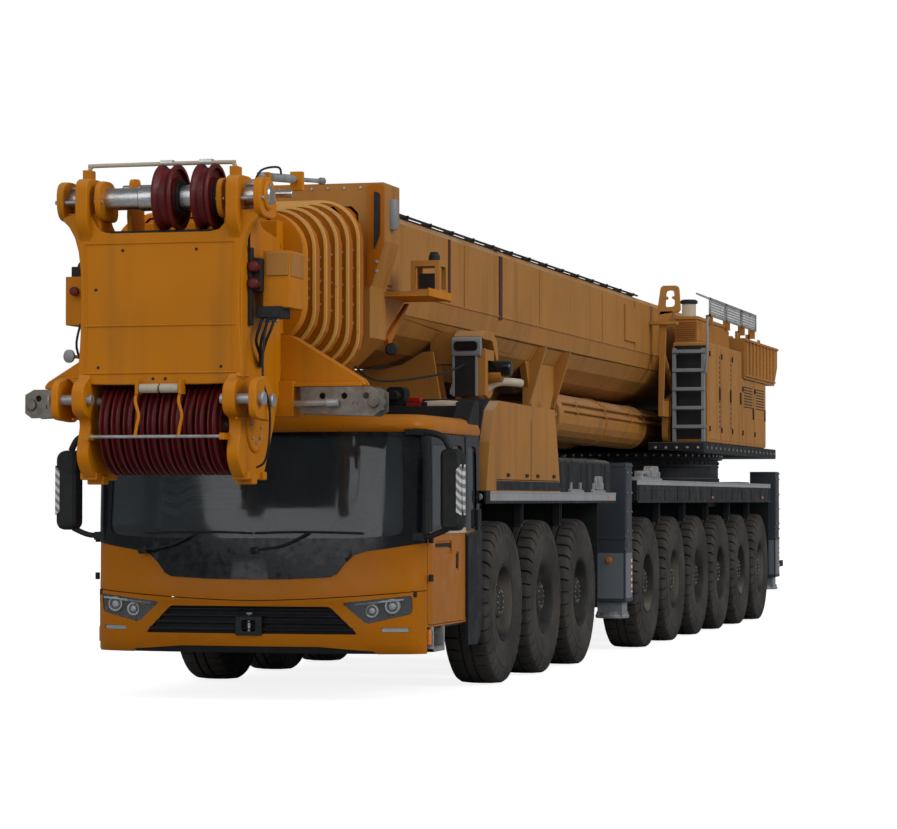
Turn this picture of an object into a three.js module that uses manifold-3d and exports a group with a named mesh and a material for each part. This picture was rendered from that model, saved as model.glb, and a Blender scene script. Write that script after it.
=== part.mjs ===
// Nine-axle all-terrain mobile crane, stowed for the road.
// Frame: +Z up, -Y forward, +X the vehicle's left. Millimetres.
// Lengths along the vehicle are written as stations: distance behind the first axle.
// The finished group is shifted so that the origin lies on the ground under the middle of the crane.
import * as THREE from "three";
import { mergeVertices } from "three/addons/utils/BufferGeometryUtils.js";
import Module from "manifold-3d";

const wasm = await Module();
wasm.setup();

// ---------------------------------------------------------------- driving dimensions

const halfWidth = 1500; // over tyres, deck and cab
const seatGap = 0.3; // between faces that rest on each other
const turnGap = 0.5; // between a pin and its hole, and between faces that turn on each other
const moveGap = 8; // round every piece that moves

const tyreDiameter = 1490;
const tyreWidth = 445;
const tyreSides = 16;
const rimRadius = 318;
const hubRadius = 165;
const hubReach = 175; // hub face outboard of the wheel's middle plane
const discInner = 30; // wheel disc, outboard of the wheel's middle plane
const discOuter = 75;

const axlePitch = 1650;
const frontAxles = 3;
const rearAxles = 6;
const axleGroupGap = 3600;
const kingpinInset = 160; // kingpin inboard of the wheel's middle plane

const frameHalf = 450;
const frameBottom = 1000;
const deckBottom = 1650;
const deckPlate = 40;
const frontRailTop = 1750;
const rearRailTop = 1900;
const boxTop = 2090; // top of the tank and of the outrigger covers
const deckFront = -850;

const cabNose = -2950;
const cabBack = -900;
const cabHalf = halfWidth - 30;
const cabSill = 620;
const cabFloor = 870;
const cabTop = 2400;
const cabWall = 60;
const doorFront = cabNose + 370;
const doorBack = -1400;

const slewStation = 12600;
const slewRadius = 1300;
const slewTop = 2205; // top of the fixed ring
const platformBottom = 2280;
const platformTop = 2420;
const platformFront = 10900;
const consoleFront = 8600; // platform in front of it, under the operator's cab
const platformBack = 17000;

const boomHalf = 800;
const boomTop = 4200;
const boomBottom = 2920;
const boomWall = 22;
const sectionGap = 18; // between one boom section and the next
const sectionCount = 6;
const boomPivot = { y: 15600, z: 3720, radius: 120 };
const luffFoot = { y: 13200, z: 2595, radius: 100 };
const luffEye = { y: 5050, z: 2640 };
const ramX = 380; // each of the two luffing rams, from the middle plane
const barrelRadius = 275;
const rodRadius = 170;

const headFront = -5050;
const noseStation = -5250;

const axleHeight = tyreDiameter / 2;
const wheelX = halfWidth - tyreWidth / 2;
const kingpinX = wheelX - kingpinInset;
const axleStations = [];
for (let i = 0; i < frontAxles; i++) axleStations.push(i * axlePitch);
const rearGroupStart = (frontAxles - 1) * axlePitch + axleGroupGap;
for (let i = 0; i < rearAxles; i++) axleStations.push(rearGroupStart + i * axlePitch);
const lastFrontAxle = axleStations[frontAxles - 1];
const lastAxle = axleStations[axleStations.length - 1];
const frameRear = lastAxle + 1850;
const tailStation = frameRear + 500; // rear face of the underrun bar
const stationShift = -(noseStation + tailStation) / 2;

// ---------------------------------------------------------------- materials

const paint = (color, roughness, metalness) =>
  new THREE.MeshStandardMaterial({ color, roughness, metalness });
const yellow = paint(0xc8800e, 0.45, 0.1);
const darkGrey = paint(0x24282c, 0.6, 0.2);
const black = paint(0x121416, 0.5, 0.1);
const deckGrey = paint(0x8d9194, 0.6, 0.3);
const rubber = paint(0x1b1a19, 0.9, 0);
const steel = paint(0xb9bcc0, 0.3, 0.9);
const sheaveRed = paint(0x5e1018, 0.5, 0.1);
const glass = paint(0x2a3238, 0.1, 0);

// ---------------------------------------------------------------- solid building

// A closed three.js geometry as a solid that can be joined and cut.
function solidOf(geometry) {
  const bare = geometry.clone();
  bare.deleteAttribute("normal");
  bare.deleteAttribute("uv");
  const merged = mergeVertices(bare, 1e-3);
  const triVerts = new Uint32Array(
    merged.index ? merged.index.array : [...merged.attributes.position.array.keys()],
  );
  const vertProperties = merged.attributes.position.array;
  return new wasm.Manifold(new wasm.Mesh({ numProp: 3, vertProperties, triVerts }));
}

const join = (...solids) => solids.reduce((a, b) => a.add(b));
const cut = (solid, ...tools) => tools.reduce((a, b) => a.subtract(b), solid);

// A box from its lowest to its highest coordinate on each axis.
function block([x0, x1], [y0, y1], [z0, z1]) {
  const g = new THREE.BoxGeometry(x1 - x0, y1 - y0, z1 - z0);
  g.translate((x0 + x1) / 2, (y0 + y1) / 2, (z0 + z1) / 2);
  return solidOf(g);
}

// The same box on both sides of the vehicle's middle plane.
const bothSides = ([x0, x1], y, z) => [block([x0, x1], y, z), block([-x1, -x0], y, z)];

function extrusion(points, depth) {
  const shape = new THREE.Shape(points.map(([a, b]) => new THREE.Vector2(a, b)));
  return new THREE.ExtrudeGeometry(shape, { depth, bevelEnabled: false, steps: 1 });
}

// A side view, [station, height] points, carried from x0 to x1.
function sideProfile(points, [x0, x1]) {
  const g = extrusion(points, x1 - x0);
  const turn = new THREE.Matrix4().makeBasis(
    new THREE.Vector3(0, 1, 0),
    new THREE.Vector3(0, 0, 1),
    new THREE.Vector3(1, 0, 0),
  );
  g.applyMatrix4(turn).translate(x0, 0, 0);
  return solidOf(g);
}

// A front view, [x, height] points, carried from station y0 to y1.
function frontProfile(points, [y0, y1]) {
  const g = extrusion(points, y1 - y0);
  g.rotateX(Math.PI / 2).translate(0, y1, 0);
  return solidOf(g);
}

// A plan view, [x, station] points, carried from z0 to z1.
function planProfile(points, [z0, z1]) {
  const g = extrusion(points, z1 - z0);
  g.translate(0, 0, z0);
  return solidOf(g);
}

// A round bar between two points.
function bar(from, to, radius, sides = 16) {
  const a = new THREE.Vector3(...from);
  const b = new THREE.Vector3(...to);
  const g = new THREE.CylinderGeometry(radius, radius, a.distanceTo(b), sides, 1);
  const up = new THREE.Vector3(0, 1, 0);
  const turn = new THREE.Quaternion().setFromUnitVectors(up, b.clone().sub(a).normalize());
  g.applyQuaternion(turn);
  g.translate(...a.add(b).divideScalar(2).toArray());
  return solidOf(g);
}

// A hole for a round pin: its flats stay clear of the pin's corners as it turns.
const pinSides = 32;
const holeRadius = (pinRadius) => (pinRadius + turnGap) / Math.cos(Math.PI / pinSides);
const pinAcross = (x0, x1, { y, z, radius }) => bar([x0, y, z], [x1, y, z], radius, pinSides);
const holeAcross = (x0, x1, { y, z, radius }) =>
  bar([x0, y, z], [x1, y, z], holeRadius(radius), pinSides);

const crane = new THREE.Group();
crane.position.y = stationShift;

function place(name, solid, material, position = [0, 0, 0], mirrored = false) {
  const { vertProperties, triVerts } = solid.getMesh();
  const g = new THREE.BufferGeometry();
  g.setAttribute("position", new THREE.BufferAttribute(vertProperties, 3));
  g.setIndex(new THREE.BufferAttribute(triVerts, 1));
  g.computeVertexNormals();
  const mesh = new THREE.Mesh(g, material);
  mesh.name = name;
  mesh.position.set(...position);
  if (mirrored) mesh.scale.x = -1;
  crane.add(mesh);
}

// ---------------------------------------------------------------- wheels, knuckles and axles

// Tyre, rim and hub, turned about the wheel's own axis, with +X outboard.
// One flat of the tread faces down.
function wheelSolid() {
  const crown = axleHeight / Math.cos(Math.PI / tyreSides);
  const half = tyreWidth / 2;
  const profile = [
    [0, discInner],
    [rimRadius - 18, discInner],
    [rimRadius, -half],
    [crown, -half + 30],
    [crown, half - 30],
    [rimRadius, half],
    [rimRadius - 18, discOuter],
    [hubRadius, discOuter],
    [hubRadius, hubReach],
    [0, hubReach],
  ];
  const points = profile.map(([r, h]) => new THREE.Vector2(r, h));
  const g = new THREE.LatheGeometry(points, tyreSides);
  g.rotateY(Math.PI / tyreSides).rotateZ(-Math.PI / 2);
  return solidOf(g);
}

const earHeight = 150; // inner face of each yoke ear, from the axle's centre line
const earPlate = 50;
const earReach = 70;
const knucklePost = 60;
const spindleRadius = 110;
const spindleEnd = wheelX + discInner - turnGap;

// The knuckle turns about the kingpin and carries the wheel on its spindle.
function knuckleSolid() {
  const post = earHeight - turnGap;
  const reach = spindleEnd - kingpinX;
  return join(
    bar([0, 0, -post], [0, 0, post], knucklePost, 12),
    bar([0, 0, 0], [reach, 0, 0], spindleRadius, 12),
  );
}

const beamHalf = 95;
const diffRadius = 225;
const propRadius = 55;
const strutRadius = 70;
const strutX = 330;

function axleBeam(station, steered) {
  const yokeRoot = kingpinX - 180;
  const end = steered ? yokeRoot : spindleEnd;
  const pieces = [
    block([-end, end], [station - beamHalf, station + beamHalf],
      [axleHeight - beamHalf, axleHeight + beamHalf]),
    bar([-190, station, axleHeight], [190, station, axleHeight], diffRadius),
  ];
  for (const side of [-1, 1]) {
    const x = side * strutX;
    pieces.push(bar([x, station, axleHeight], [x, station, frameBottom - seatGap], strutRadius, 8));
    if (!steered) continue;
    const span = [side * (yokeRoot - 60), side * (kingpinX + earReach)].sort((a, b) => a - b);
    for (const up of [-1, 1]) {
      const near = axleHeight + up * earHeight;
      const far = axleHeight + up * (earHeight + earPlate);
      pieces.push(block(span, [station - earReach, station + earReach],
        [Math.min(near, far), Math.max(near, far)]));
    }
    const web = [side * (yokeRoot - 60), side * yokeRoot].sort((a, b) => a - b);
    pieces.push(block(web, [station - earReach, station + earReach],
      [axleHeight - earHeight - earPlate, axleHeight + earHeight + earPlate]));
  }
  return join(...pieces);
}

function axlesSolid() {
  const beams = axleStations.map((station, i) => axleBeam(station, i < frontAxles));
  const shaft = bar([0, 0, axleHeight], [0, lastAxle, axleHeight], propRadius, 8);
  return join(shaft, ...beams);
}

function addRunningGear() {
  const wheel = wheelSolid();
  const knuckle = knuckleSolid();
  axleStations.forEach((station, i) => {
    for (const [side, mirrored] of [["left", false], ["right", true]]) {
      const sign = mirrored ? -1 : 1;
      place(`wheel_${i + 1}_${side}`, wheel, rubber, [sign * wheelX, station, axleHeight], mirrored);
      if (i < frontAxles)
        place(`knuckle_${i + 1}_${side}`, knuckle, darkGrey,
          [sign * kingpinX, station, axleHeight], mirrored);
    }
  });
  place("axles", axlesSolid(), darkGrey);
}

// ---------------------------------------------------------------- outriggers

const beamDepth = 380; // outrigger beam, along the vehicle
const beamBottom = 1190;
const beamTop = 1570;
const beamPairGap = 60; // between the left and right beams of a pair
const sleeveOuter = halfWidth - 10;
const outriggerHalf = sleeveOuter - 375; // half length of the cross box
const sleeveWall = 45;
const sleeveBottom = 560;
const padRadius = 260;
const padBottom = 380;
const padThick = 70;
const outriggerStations = { front: lastFrontAxle + 2200, rear: frameRear - 520 };

// The right beam of a pair lies ahead of the pair's middle, the left one behind it.
function beamSpan(middle, mirrored) {
  const near = middle + (mirrored ? -beamPairGap / 2 - beamDepth : beamPairGap / 2);
  return [near, near + beamDepth];
}

function outriggerBox(middle) {
  const half = beamPairGap / 2 + beamDepth + 70;
  const shell = block([-outriggerHalf, outriggerHalf], [middle - half, middle + half],
    [beamBottom - 60, deckBottom - seatGap]);
  const channels = [false, true].map((mirrored) => {
    const [y0, y1] = beamSpan(middle, mirrored);
    return block([-outriggerHalf - 10, outriggerHalf + 10], [y0 - moveGap, y1 + moveGap],
      [beamBottom - turnGap, beamTop + moveGap]);
  });
  return [shell, channels];
}

function outriggerBeam([y0, y1]) {
  const wide = beamDepth;
  const sleeve = [outriggerHalf + moveGap, sleeveOuter];
  const solid = join(
    block([-outriggerHalf + moveGap, sleeve[0] + 20], [y0, y0 + wide], [beamBottom, beamTop]),
    block(sleeve, [y0, y1], [sleeveBottom, boxTop]),
  );
  const bore = block([sleeve[0] + sleeveWall, sleeve[1] - sleeveWall],
    [y0 + sleeveWall, y1 - sleeveWall], [sleeveBottom - 10, boxTop - sleeveWall]);
  return cut(solid, bore);
}

function outriggerJack([y0, y1]) {
  const middle = (y0 + y1) / 2;
  const x0 = outriggerHalf + moveGap + sleeveWall + turnGap;
  const x1 = sleeveOuter - sleeveWall - turnGap;
  const legTop = boxTop - sleeveWall - moveGap;
  const centre = (x0 + x1) / 2;
  return join(
    block([x0, x1], [y0 + sleeveWall + turnGap, y1 - sleeveWall - turnGap], [padBottom + 20, legTop]),
    bar([centre, middle, padBottom], [centre, middle, padBottom + padThick], padRadius * 0.68, 20),
  );
}

function addOutriggers() {
  for (const [where, middle] of Object.entries(outriggerStations)) {
    for (const [side, mirrored] of [["left", false], ["right", true]]) {
      const span = beamSpan(middle, mirrored);
      place(`outrigger_beam_${where}_${side}`, outriggerBeam(span), darkGrey, [0, 0, 0], mirrored);
      place(`outrigger_jack_${where}_${side}`, outriggerJack(span), steel, [0, 0, 0], mirrored);
    }
  }
}

// ---------------------------------------------------------------- chassis and deck

const subframeTop = cabFloor - seatGap;
const subframeBottom = 480;
const subframeFront = cabNose + 110;
const underrunHeight = [350, 480];

function chassisSolid() {
  const girder = sideProfile([
    [subframeFront, subframeBottom],
    [-350, subframeBottom],
    [-350, frameBottom],
    [frameRear, frameBottom],
    [frameRear, deckBottom - seatGap],
    [-640, deckBottom - seatGap],
    [-640, subframeTop],
    [subframeFront, subframeTop],
  ], [-frameHalf, frameHalf]);
  const boxes = Object.values(outriggerStations).map(outriggerBox);
  const pedestal = bar([0, slewStation, deckBottom - 60], [0, slewStation, slewTop], slewRadius, 40);
  const underrun = block([-1200, 1200], [tailStation - 150, tailStation], underrunHeight);
  const legs = bothSides([500, 620], [frameRear - 60, tailStation - 60],
    [underrunHeight[0], underrunHeight[1]]);
  const hangers = bothSides([frameHalf - 80, 620], [frameRear - 120, frameRear],
    [underrunHeight[0], frameBottom + 200]);
  const body = join(girder, ...boxes.map(([shell]) => shell), pedestal, underrun, ...legs, ...hangers);
  return cut(body, ...boxes.flatMap(([, channels]) => channels));
}

const railWidth = 60;
const tankSpan = [lastFrontAxle - 880, lastFrontAxle + 1580];
const coverHalf = outriggerHalf - 5;
const tankHalf = halfWidth - 50;

function deckSolid() {
  const rearStart = outriggerStations.front + 640;
  const rearEnd = outriggerStations.rear - 540;
  const frontEnd = outriggerStations.front - 560;
  const plateTop = deckBottom + deckPlate;
  const pieces = [
    block([-halfWidth, halfWidth], [deckFront, frontEnd], [deckBottom, plateTop]),
    block([-halfWidth, halfWidth], [rearStart, rearEnd], [deckBottom, plateTop]),
    block([-coverHalf, coverHalf], [frontEnd - 20, rearStart + 20], [deckBottom, boxTop]),
    block([-coverHalf, coverHalf], [rearEnd - 20, frameRear], [deckBottom, rearRailTop]),
    block([-tankHalf, tankHalf], tankSpan, [deckBottom, boxTop]),
    ...bothSides([halfWidth - railWidth, halfWidth], [deckFront, frontEnd], [deckBottom, frontRailTop]),
    ...bothSides([1150, halfWidth], [rearStart, rearEnd], [deckBottom, rearRailTop]),
  ];
  const posts = axleStations.map((station) => station + axlePitch / 2);
  for (const y of posts.slice(0, frontAxles - 1).concat(posts.slice(frontAxles, -1)))
    pieces.push(...bothSides([halfWidth - 120, halfWidth - 60], [y - 30, y + 30], [1440, deckBottom + 10]));
  const well = bar([0, slewStation, deckBottom - 20], [0, slewStation, rearRailTop + 20],
    slewRadius + 10, 40);
  return cut(join(...pieces), well);
}

// ---------------------------------------------------------------- driver's cab

// The cab's plan outline, pulled in by inset on every side.
function cabOutline(inset) {
  const right = [
    [cabHalf, cabBack],
    [cabHalf, cabNose + 410],
    [cabHalf - 45, cabNose + 250],
    [cabHalf - 170, cabNose + 135],
    [cabHalf - 470, cabNose + 60],
    [500, cabNose + 12],
  ];
  const shrink = ([x, y]) => {
    const back = y === cabBack;
    return [x * (1 - inset / cabHalf), back ? y - inset : y + inset * (y < cabNose + 400 ? 1 : 0.4)];
  };
  const pulled = right.map(shrink);
  const left = pulled.map(([x, y]) => [-x, y]).reverse();
  return [...pulled, [0, cabNose + inset], ...left];
}

const screenHalf = cabHalf - 130;
const screenSpan = [1345, 2245];
const doorSpan = [640, 2240];
const doorWindow = { y: [doorFront + 100, doorBack - 100], z: [1430, 2150] };
const mudguard = { y: [-1380, -862], z: [400, 1640] }; // fairings behind the doors
const hingeHeights = [1000, 1320];
const hingeRadius = 22;
const hingeX = cabHalf + 14;
const hingeY = doorFront - moveGap / 2;
const mirrorSpan = { x: [cabHalf + 130, cabHalf + 330], y: [cabNose + 160, cabNose + 320], z: [1420, 2110] };
const doorDepth = [cabHalf - 220, cabHalf + 130]; // reach across a side of the cab

function cabSolid() {
  const body = planProfile(cabOutline(0), [cabSill, cabTop]);
  const inner = cabOutline(cabWall);
  const doorway = [doorFront - moveGap, doorBack + moveGap];
  const tools = [
    planProfile(inner, [cabFloor + 60, cabTop - cabWall]),
    planProfile(inner, [cabSill - 10, cabFloor]),
    block([-2000, 2000], [cabNose - 50, doorFront - moveGap - 12], [cabSill - 10, cabFloor + seatGap]),
    block([-frameHalf - 20, frameHalf + 20], [cabBack - cabWall - 10, cabBack + 10],
      [cabSill - 10, cabFloor]),
    block([-screenHalf, screenHalf], [cabNose - 50, cabNose + 450], screenSpan),
    ...bothSides(doorDepth, doorway, [doorSpan[0] - moveGap, doorSpan[1] + moveGap]),
    ...bothSides(doorDepth, [-1290, -1000], doorWindow.z),
    block([-700, 700], [cabBack - 120, cabBack + 50], [1500, 2100]),
  ];
  const shell = cut(body, ...tools);
  const extras = bothSides([cabHalf - 20, halfWidth], mudguard.y, mudguard.z);
  for (const side of [-1, 1]) {
    for (const z of hingeHeights) {
      const x = side * hingeX;
      extras.push(bar([x, hingeY, z - 60], [x, hingeY, z], hingeRadius, 12));
      const span = [side * (cabHalf - 20), side * hingeX].sort((a, b) => a - b);
      extras.push(block(span, [doorFront - 70, doorFront - moveGap], [z - 60, z]));
    }
    const { x, y, z } = mirrorSpan;
    const across = ([a, b]) => [side * a, side * b].sort((p, q) => p - q);
    extras.push(block(across(x), y, z));
    for (const height of [z[0] + 60, z[1] - 100])
      extras.push(block(across([cabHalf - 110, x[0] + 20]), [y[0] + 50, y[0] + 90], [height, height + 40]));
  }
  return join(shell, ...extras);
}

function windscreenSolid() {
  const pane = cut(
    planProfile(cabOutline(12), [screenSpan[0] + turnGap, screenSpan[1] - turnGap]),
    planProfile(cabOutline(24), [screenSpan[0] - 10, screenSpan[1] + 10]),
  );
  const keep = block([-screenHalf + turnGap, screenHalf - turnGap], [cabNose - 50, cabNose + 400],
    screenSpan);
  return pane.intersect(keep);
}

// A door is cut from the cab's own outline, so that it stays flush with it.
function doorSolid() {
  const skin = cut(
    planProfile(cabOutline(0), doorSpan),
    planProfile(cabOutline(cabWall), [doorSpan[0] - 10, doorSpan[1] + 10]),
  );
  const leaf = skin.intersect(block(doorDepth, [doorFront, doorBack], doorSpan));
  const window = block(doorDepth, doorWindow.y, doorWindow.z);
  const lugs = hingeHeights.flatMap((z) => [
    bar([hingeX, hingeY, z + turnGap], [hingeX, hingeY, z + 60], hingeRadius, 12),
    block([cabHalf - 10, hingeX], [hingeY, doorFront + 60], [z + turnGap, z + 60]),
  ]);
  return join(cut(leaf, window), ...lugs);
}

const bumperBottom = 380;

function bumperSolid() {
  const skin = cut(
    planProfile(cabOutline(0), [bumperBottom, cabFloor]),
    planProfile(cabOutline(cabWall), [bumperBottom - 10, cabFloor + 10]),
  );
  const band = skin.intersect(
    block([-2000, 2000], [cabNose - 50, doorFront - moveGap - 12 - seatGap], [bumperBottom, cabFloor]),
  );
  const bracket = block([-400, 400], [cabNose + 40, subframeFront - seatGap], [520, 760]);
  return join(band, bracket);
}

function addCab() {
  place("driver_cab", cabSolid(), yellow);
  place("windscreen", windscreenSolid(), glass);
  place("left_cab_door", doorSolid(), yellow);
  place("right_cab_door", doorSolid(), yellow, [0, 0, 0], true);
  place("front_bumper", bumperSolid(), yellow);
}

// ---------------------------------------------------------------- engine under its hood

const hoodTop = 2585;
const hoodHalf = halfWidth - 10;
const hoodWall = 30;

function hoodSolid() {
  const bottom = frontRailTop + seatGap;
  const outline = (inset) => [
    [-740 + inset, bottom - (inset ? 20 : 0)],
    [2300 - inset, bottom - (inset ? 20 : 0)],
    [2060 - inset, hoodTop - 20 - inset],
    [-230 + inset, hoodTop - inset],
    [-430 + inset, hoodTop - 90 - inset],
    [-600 + inset, 2200],
  ];
  return cut(
    sideProfile(outline(0), [-hoodHalf, hoodHalf]),
    sideProfile(outline(hoodWall), [-hoodHalf + hoodWall, hoodHalf - hoodWall]),
  );
}

function addEngine() {
  const floor = deckBottom + deckPlate + seatGap;
  place("engine_hood", hoodSolid(), yellow);
  place("carrier_engine", block([-450, 450], [-250, 1650], [floor, 2430]), darkGrey);
}

// ---------------------------------------------------------------- turntable and what stands on it

const cheek = { x: [boomHalf + 70, boomHalf + 150], front: 10960 };
const houseFront = 11100;
const houseBack = 15900;
const houseStep = 13750; // behind this station the house is lower
const houseHigh = 3700;
const houseLow = 3340;
const houseX = [990, 1450];
const ladderX = [1010, 1430];
const ladderTop = 3620;
const winch = { y: 16560, z: 2960, radius: 70 };
const winchDrum = 300;
const winchFlange = 340;
const winchHalf = 380;
const counterweightZ = [3400, 3900];

const ramWell = 705; // half width of the space between the cheeks where the rams lie
const footEye = { reach: 240, radius: 230 };

function turntableSolid() {
  const half = 1430;
  const plate = [platformBottom, platformTop];
  const plan = block([-half, half], [platformFront, platformBack], plate);
  const console = block([-half, operator.x[1] + 60], [consoleFront, platformFront + 10], plate);
  const ring = bar([0, slewStation, slewTop + turnGap], [0, slewStation, platformBottom + 10],
    slewRadius + 60, 40);
  const rams = block([-ramWell, ramWell], [platformFront - 10, luffFoot.y + footEye.radius + 20],
    [platformBottom + 15, platformTop + 10]);
  const cheekOutline = [
    [cheek.front, platformTop - 10],
    [16300, platformTop - 10],
    [16150, 3500],
    [15950, 4000],
    [15250, 4000],
    [14300, 3500],
    [cheek.front, 2950],
  ];
  const cheeks = [cheek.x, [-cheek.x[1], -cheek.x[0]]].map((x) => sideProfile(cheekOutline, x));
  const outer = ramX + footEye.reach + turnGap;
  const inner = ramX - footEye.reach - turnGap;
  const footSpan = [luffFoot.y - 180, luffFoot.y + footEye.radius + 40];
  const footHeight = [platformBottom + 5, luffFoot.z + 190];
  const footBlocks = [
    block([-inner, inner], footSpan, footHeight),
    ...bothSides([outer, outer + 110], footSpan, footHeight),
  ];
  const winchLugs = bothSides([winchHalf + turnGap, winchHalf + 70],
    [winch.y - 160, winch.y + 160], [platformTop - 10, winch.z + 170]);
  const cabinet = block([-1450, -990], [houseFront, houseBack], [platformTop - 10, houseLow]);
  const g = cheek.x[1] - 45; // inner edge of the rope guide
  const guide = frontProfile([
    [g, 2900], [g + 95, 2900], [g + 155, 3950], [g + 285, 4060], [g + 260, 4395],
    [g + 40, 4395], [g + 10, 4060],
  ], [10560, 10620]);
  const guideWindow = block([g + 95, g + 205], [10540, 10640], [4110, 4340]);
  const guideFoot = block([g, g + 80], [10560, cheek.front + 200], [2700, 2960]);
  const body = join(cut(join(plan, console, ring), rams), ...cheeks, ...footBlocks,
    ...winchLugs, cabinet, pinAcross(-outer - 60, outer + 60, luffFoot),
    cut(guide, guideWindow), guideFoot);
  return cut(body, holeAcross(-1000, 1000, boomPivot), holeAcross(-500, 500, winch));
}

function winchSolid() {
  const { y, z } = winch;
  return join(
    pinAcross(-winchHalf - 60, winchHalf + 60, winch),
    bar([-winchHalf + 10, y, z], [winchHalf - 10, y, z], winchDrum, 24),
    bar([-winchHalf, y, z], [-winchHalf + 35, y, z], winchFlange, 24),
    bar([winchHalf - 35, y, z], [winchHalf, y, z], winchFlange, 24),
  );
}

// Power house with the boarding ladder on its front and the folded walkway above it.
function engineHouseSolid() {
  const floor = platformTop + seatGap;
  const main = sideProfile([
    [houseFront, floor], [houseBack, floor], [houseBack, houseLow],
    [houseStep, houseLow], [houseStep, houseHigh], [houseFront, houseHigh],
  ], houseX);
  const upper = block([1010, 1300], [houseFront + 60, houseStep - 200], [houseHigh - 10, 4040]);
  const walkway = block([1330, 1370], [houseFront + 700, houseBack - 250], [4080, 4320]);
  const braces = [houseFront + 800, houseStep - 300].map((y) =>
    block([1290, 1370], [y, y + 60], [3960, 4100]));
  const ladderY = [houseFront - 130, houseFront - 90];
  const ladder = [
    block([ladderX[0], ladderX[0] + 45], ladderY, [floor, ladderTop]),
    block([ladderX[1] - 45, ladderX[1]], ladderY, [floor, ladderTop]),
    ...[0, 1, 2, 3, 4].map((i) =>
      block(ladderX, ladderY, [ladderTop - 45 - i * 240, ladderTop - i * 240])),
    ...[floor + 200, ladderTop - 60].map((z) =>
      block([ladderX[1] - 45, ladderX[1]], [ladderY[0], houseFront + 10], [z, z + 40])),
  ];
  return join(main, upper, walkway, ...braces, ...ladder);
}

function counterweightSolid() {
  const [z0, z1] = counterweightZ;
  const back = platformBack - 100;
  const slab = [
    [13900, houseLow + seatGap], [back - 300, houseLow + seatGap], [back, z0 + 220], [back, z1],
    [13900, z1],
  ];
  const slabs = [[1000, 1470], [-1470, -1000]].map((x) => sideProfile(slab, x));
  return join(...slabs, block([-1100, 1100], [back - 400, back - 20], [z0 + 60, z1 - 60]));
}

// ---------------------------------------------------------------- crane operator's cab

const operator = { x: [-1465, -835], y: [8650, 10250], top: 3950, wall: 45 };
const operatorDoor = { y: [8780, 9500], z: [2500, 3860], thick: 24 };

function operatorCabSolid() {
  const { x, y, top, wall } = operator;
  const floor = platformTop + seatGap;
  const side = (inset) => [
    [y[0] + inset, floor + inset], [y[1] - inset, floor + inset], [y[1] - inset, top - inset],
    [y[0] + 220 + inset * 0.6, top - inset],
  ];
  const shell = cut(sideProfile(side(0), x), sideProfile(side(wall), [x[0] + wall, x[1] - wall]));
  const doorway = [operatorDoor.y[0] + 40, operatorDoor.y[1] - 40];
  return cut(shell,
    block([x[0] - 10, x[0] + wall + 10], doorway, [operatorDoor.z[0] + 40, operatorDoor.z[1] - 40]),
    block([x[0] - 10, x[0] + wall + 10], [9600, 10150], [3150, 3820]),
    block([x[1] - wall - 10, x[1] + 10], [9050, 10150], [3150, 3820]),
    block([x[0] + 70, x[1] - 70], [y[0] - 50, y[0] + 330], [2700, 3840]),
    block([x[0] + 90, x[1] - 90], [9100, 10000], [top - wall - 10, top + 10]));
}

function operatorDoorSolid() {
  const outer = operator.x[0] - turnGap;
  const leaf = block([outer - operatorDoor.thick, outer], operatorDoor.y, operatorDoor.z);
  return cut(leaf, block([outer - 60, outer + 10],
    [operatorDoor.y[0] + 70, operatorDoor.y[1] - 70], [3050, operatorDoor.z[1] - 70]));
}

// ---------------------------------------------------------------- boom

// A boom section's front view: flat top, straight flanks and a rounded belly.
const creaseHeight = 3530;
const bellySteps = 10;
function boomOutline(inset) {
  const half = boomHalf - inset;
  const top = boomTop - inset;
  const depth = creaseHeight - boomBottom - inset;
  const chamfer = 60;
  const points = [[half, top - chamfer], [half - chamfer, top], [-half + chamfer, top],
    [-half, top - chamfer]];
  for (let i = 0; i <= bellySteps; i++) {
    const angle = Math.PI + (Math.PI * i) / bellySteps;
    points.push([half * Math.cos(angle), creaseHeight + depth * Math.sin(angle)]);
  }
  return points;
}

// A collar's front view: a box with large round corners.
function collarOutline(half, top, bottom, radius = 330, steps = 4) {
  const corners = [[1, 1, 0], [-1, 1, 90], [-1, -1, 180], [1, -1, 270]];
  const points = [];
  for (const [sx, sz, start] of corners) {
    const cx = sx * (half - radius);
    const cz = sz > 0 ? top - radius : bottom + radius;
    for (let i = 0; i <= steps; i++) {
      const angle = ((start + (90 * i) / steps) * Math.PI) / 180;
      points.push([cx + radius * Math.cos(angle), cz + radius * Math.sin(angle)]);
    }
  }
  return points;
}

const sectionStep = boomWall + sectionGap;
const collarPitch = 250;
const collarDepth = 130;
const firstCollar = -2740;
const baseCollarY = [-2350, -1850];
const baseRear = 14450;
const sectionRear = 14200; // rear end of the outermost moving section
const rearStagger = 110;
const padLength = 260;

function tube(inset, y) {
  return cut(frontProfile(boomOutline(inset), y),
    frontProfile(boomOutline(inset + boomWall), [y[0] - 10, y[1] + 10]));
}

const collarFront = (index) => firstCollar - collarPitch * (index - 1);

// A moving section: tube, slide pads at its rear and a collar at its front.
function sectionSolid(index) {
  const inset = sectionStep * index;
  const front = collarFront(index);
  const rear = sectionRear - rearStagger * (index - 1);
  const collar = frontProfile(
    collarOutline(boomHalf + 100 - 18 * (index - 1), 4190 - 40 * (index - 1), 2740 + 36 * (index - 1)),
    [front, front + collarDepth],
  );
  const pads = frontProfile(boomOutline(inset - sectionGap + turnGap), [rear - padLength, rear]);
  const hollow = frontProfile(boomOutline(inset + boomWall), [front - 10, rear + 10]);
  return cut(join(tube(inset, [front, rear]), collar, pads), hollow);
}

const reel = { x: [900, 1200], y: 700, z: 2860, radius: 220 };

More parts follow.
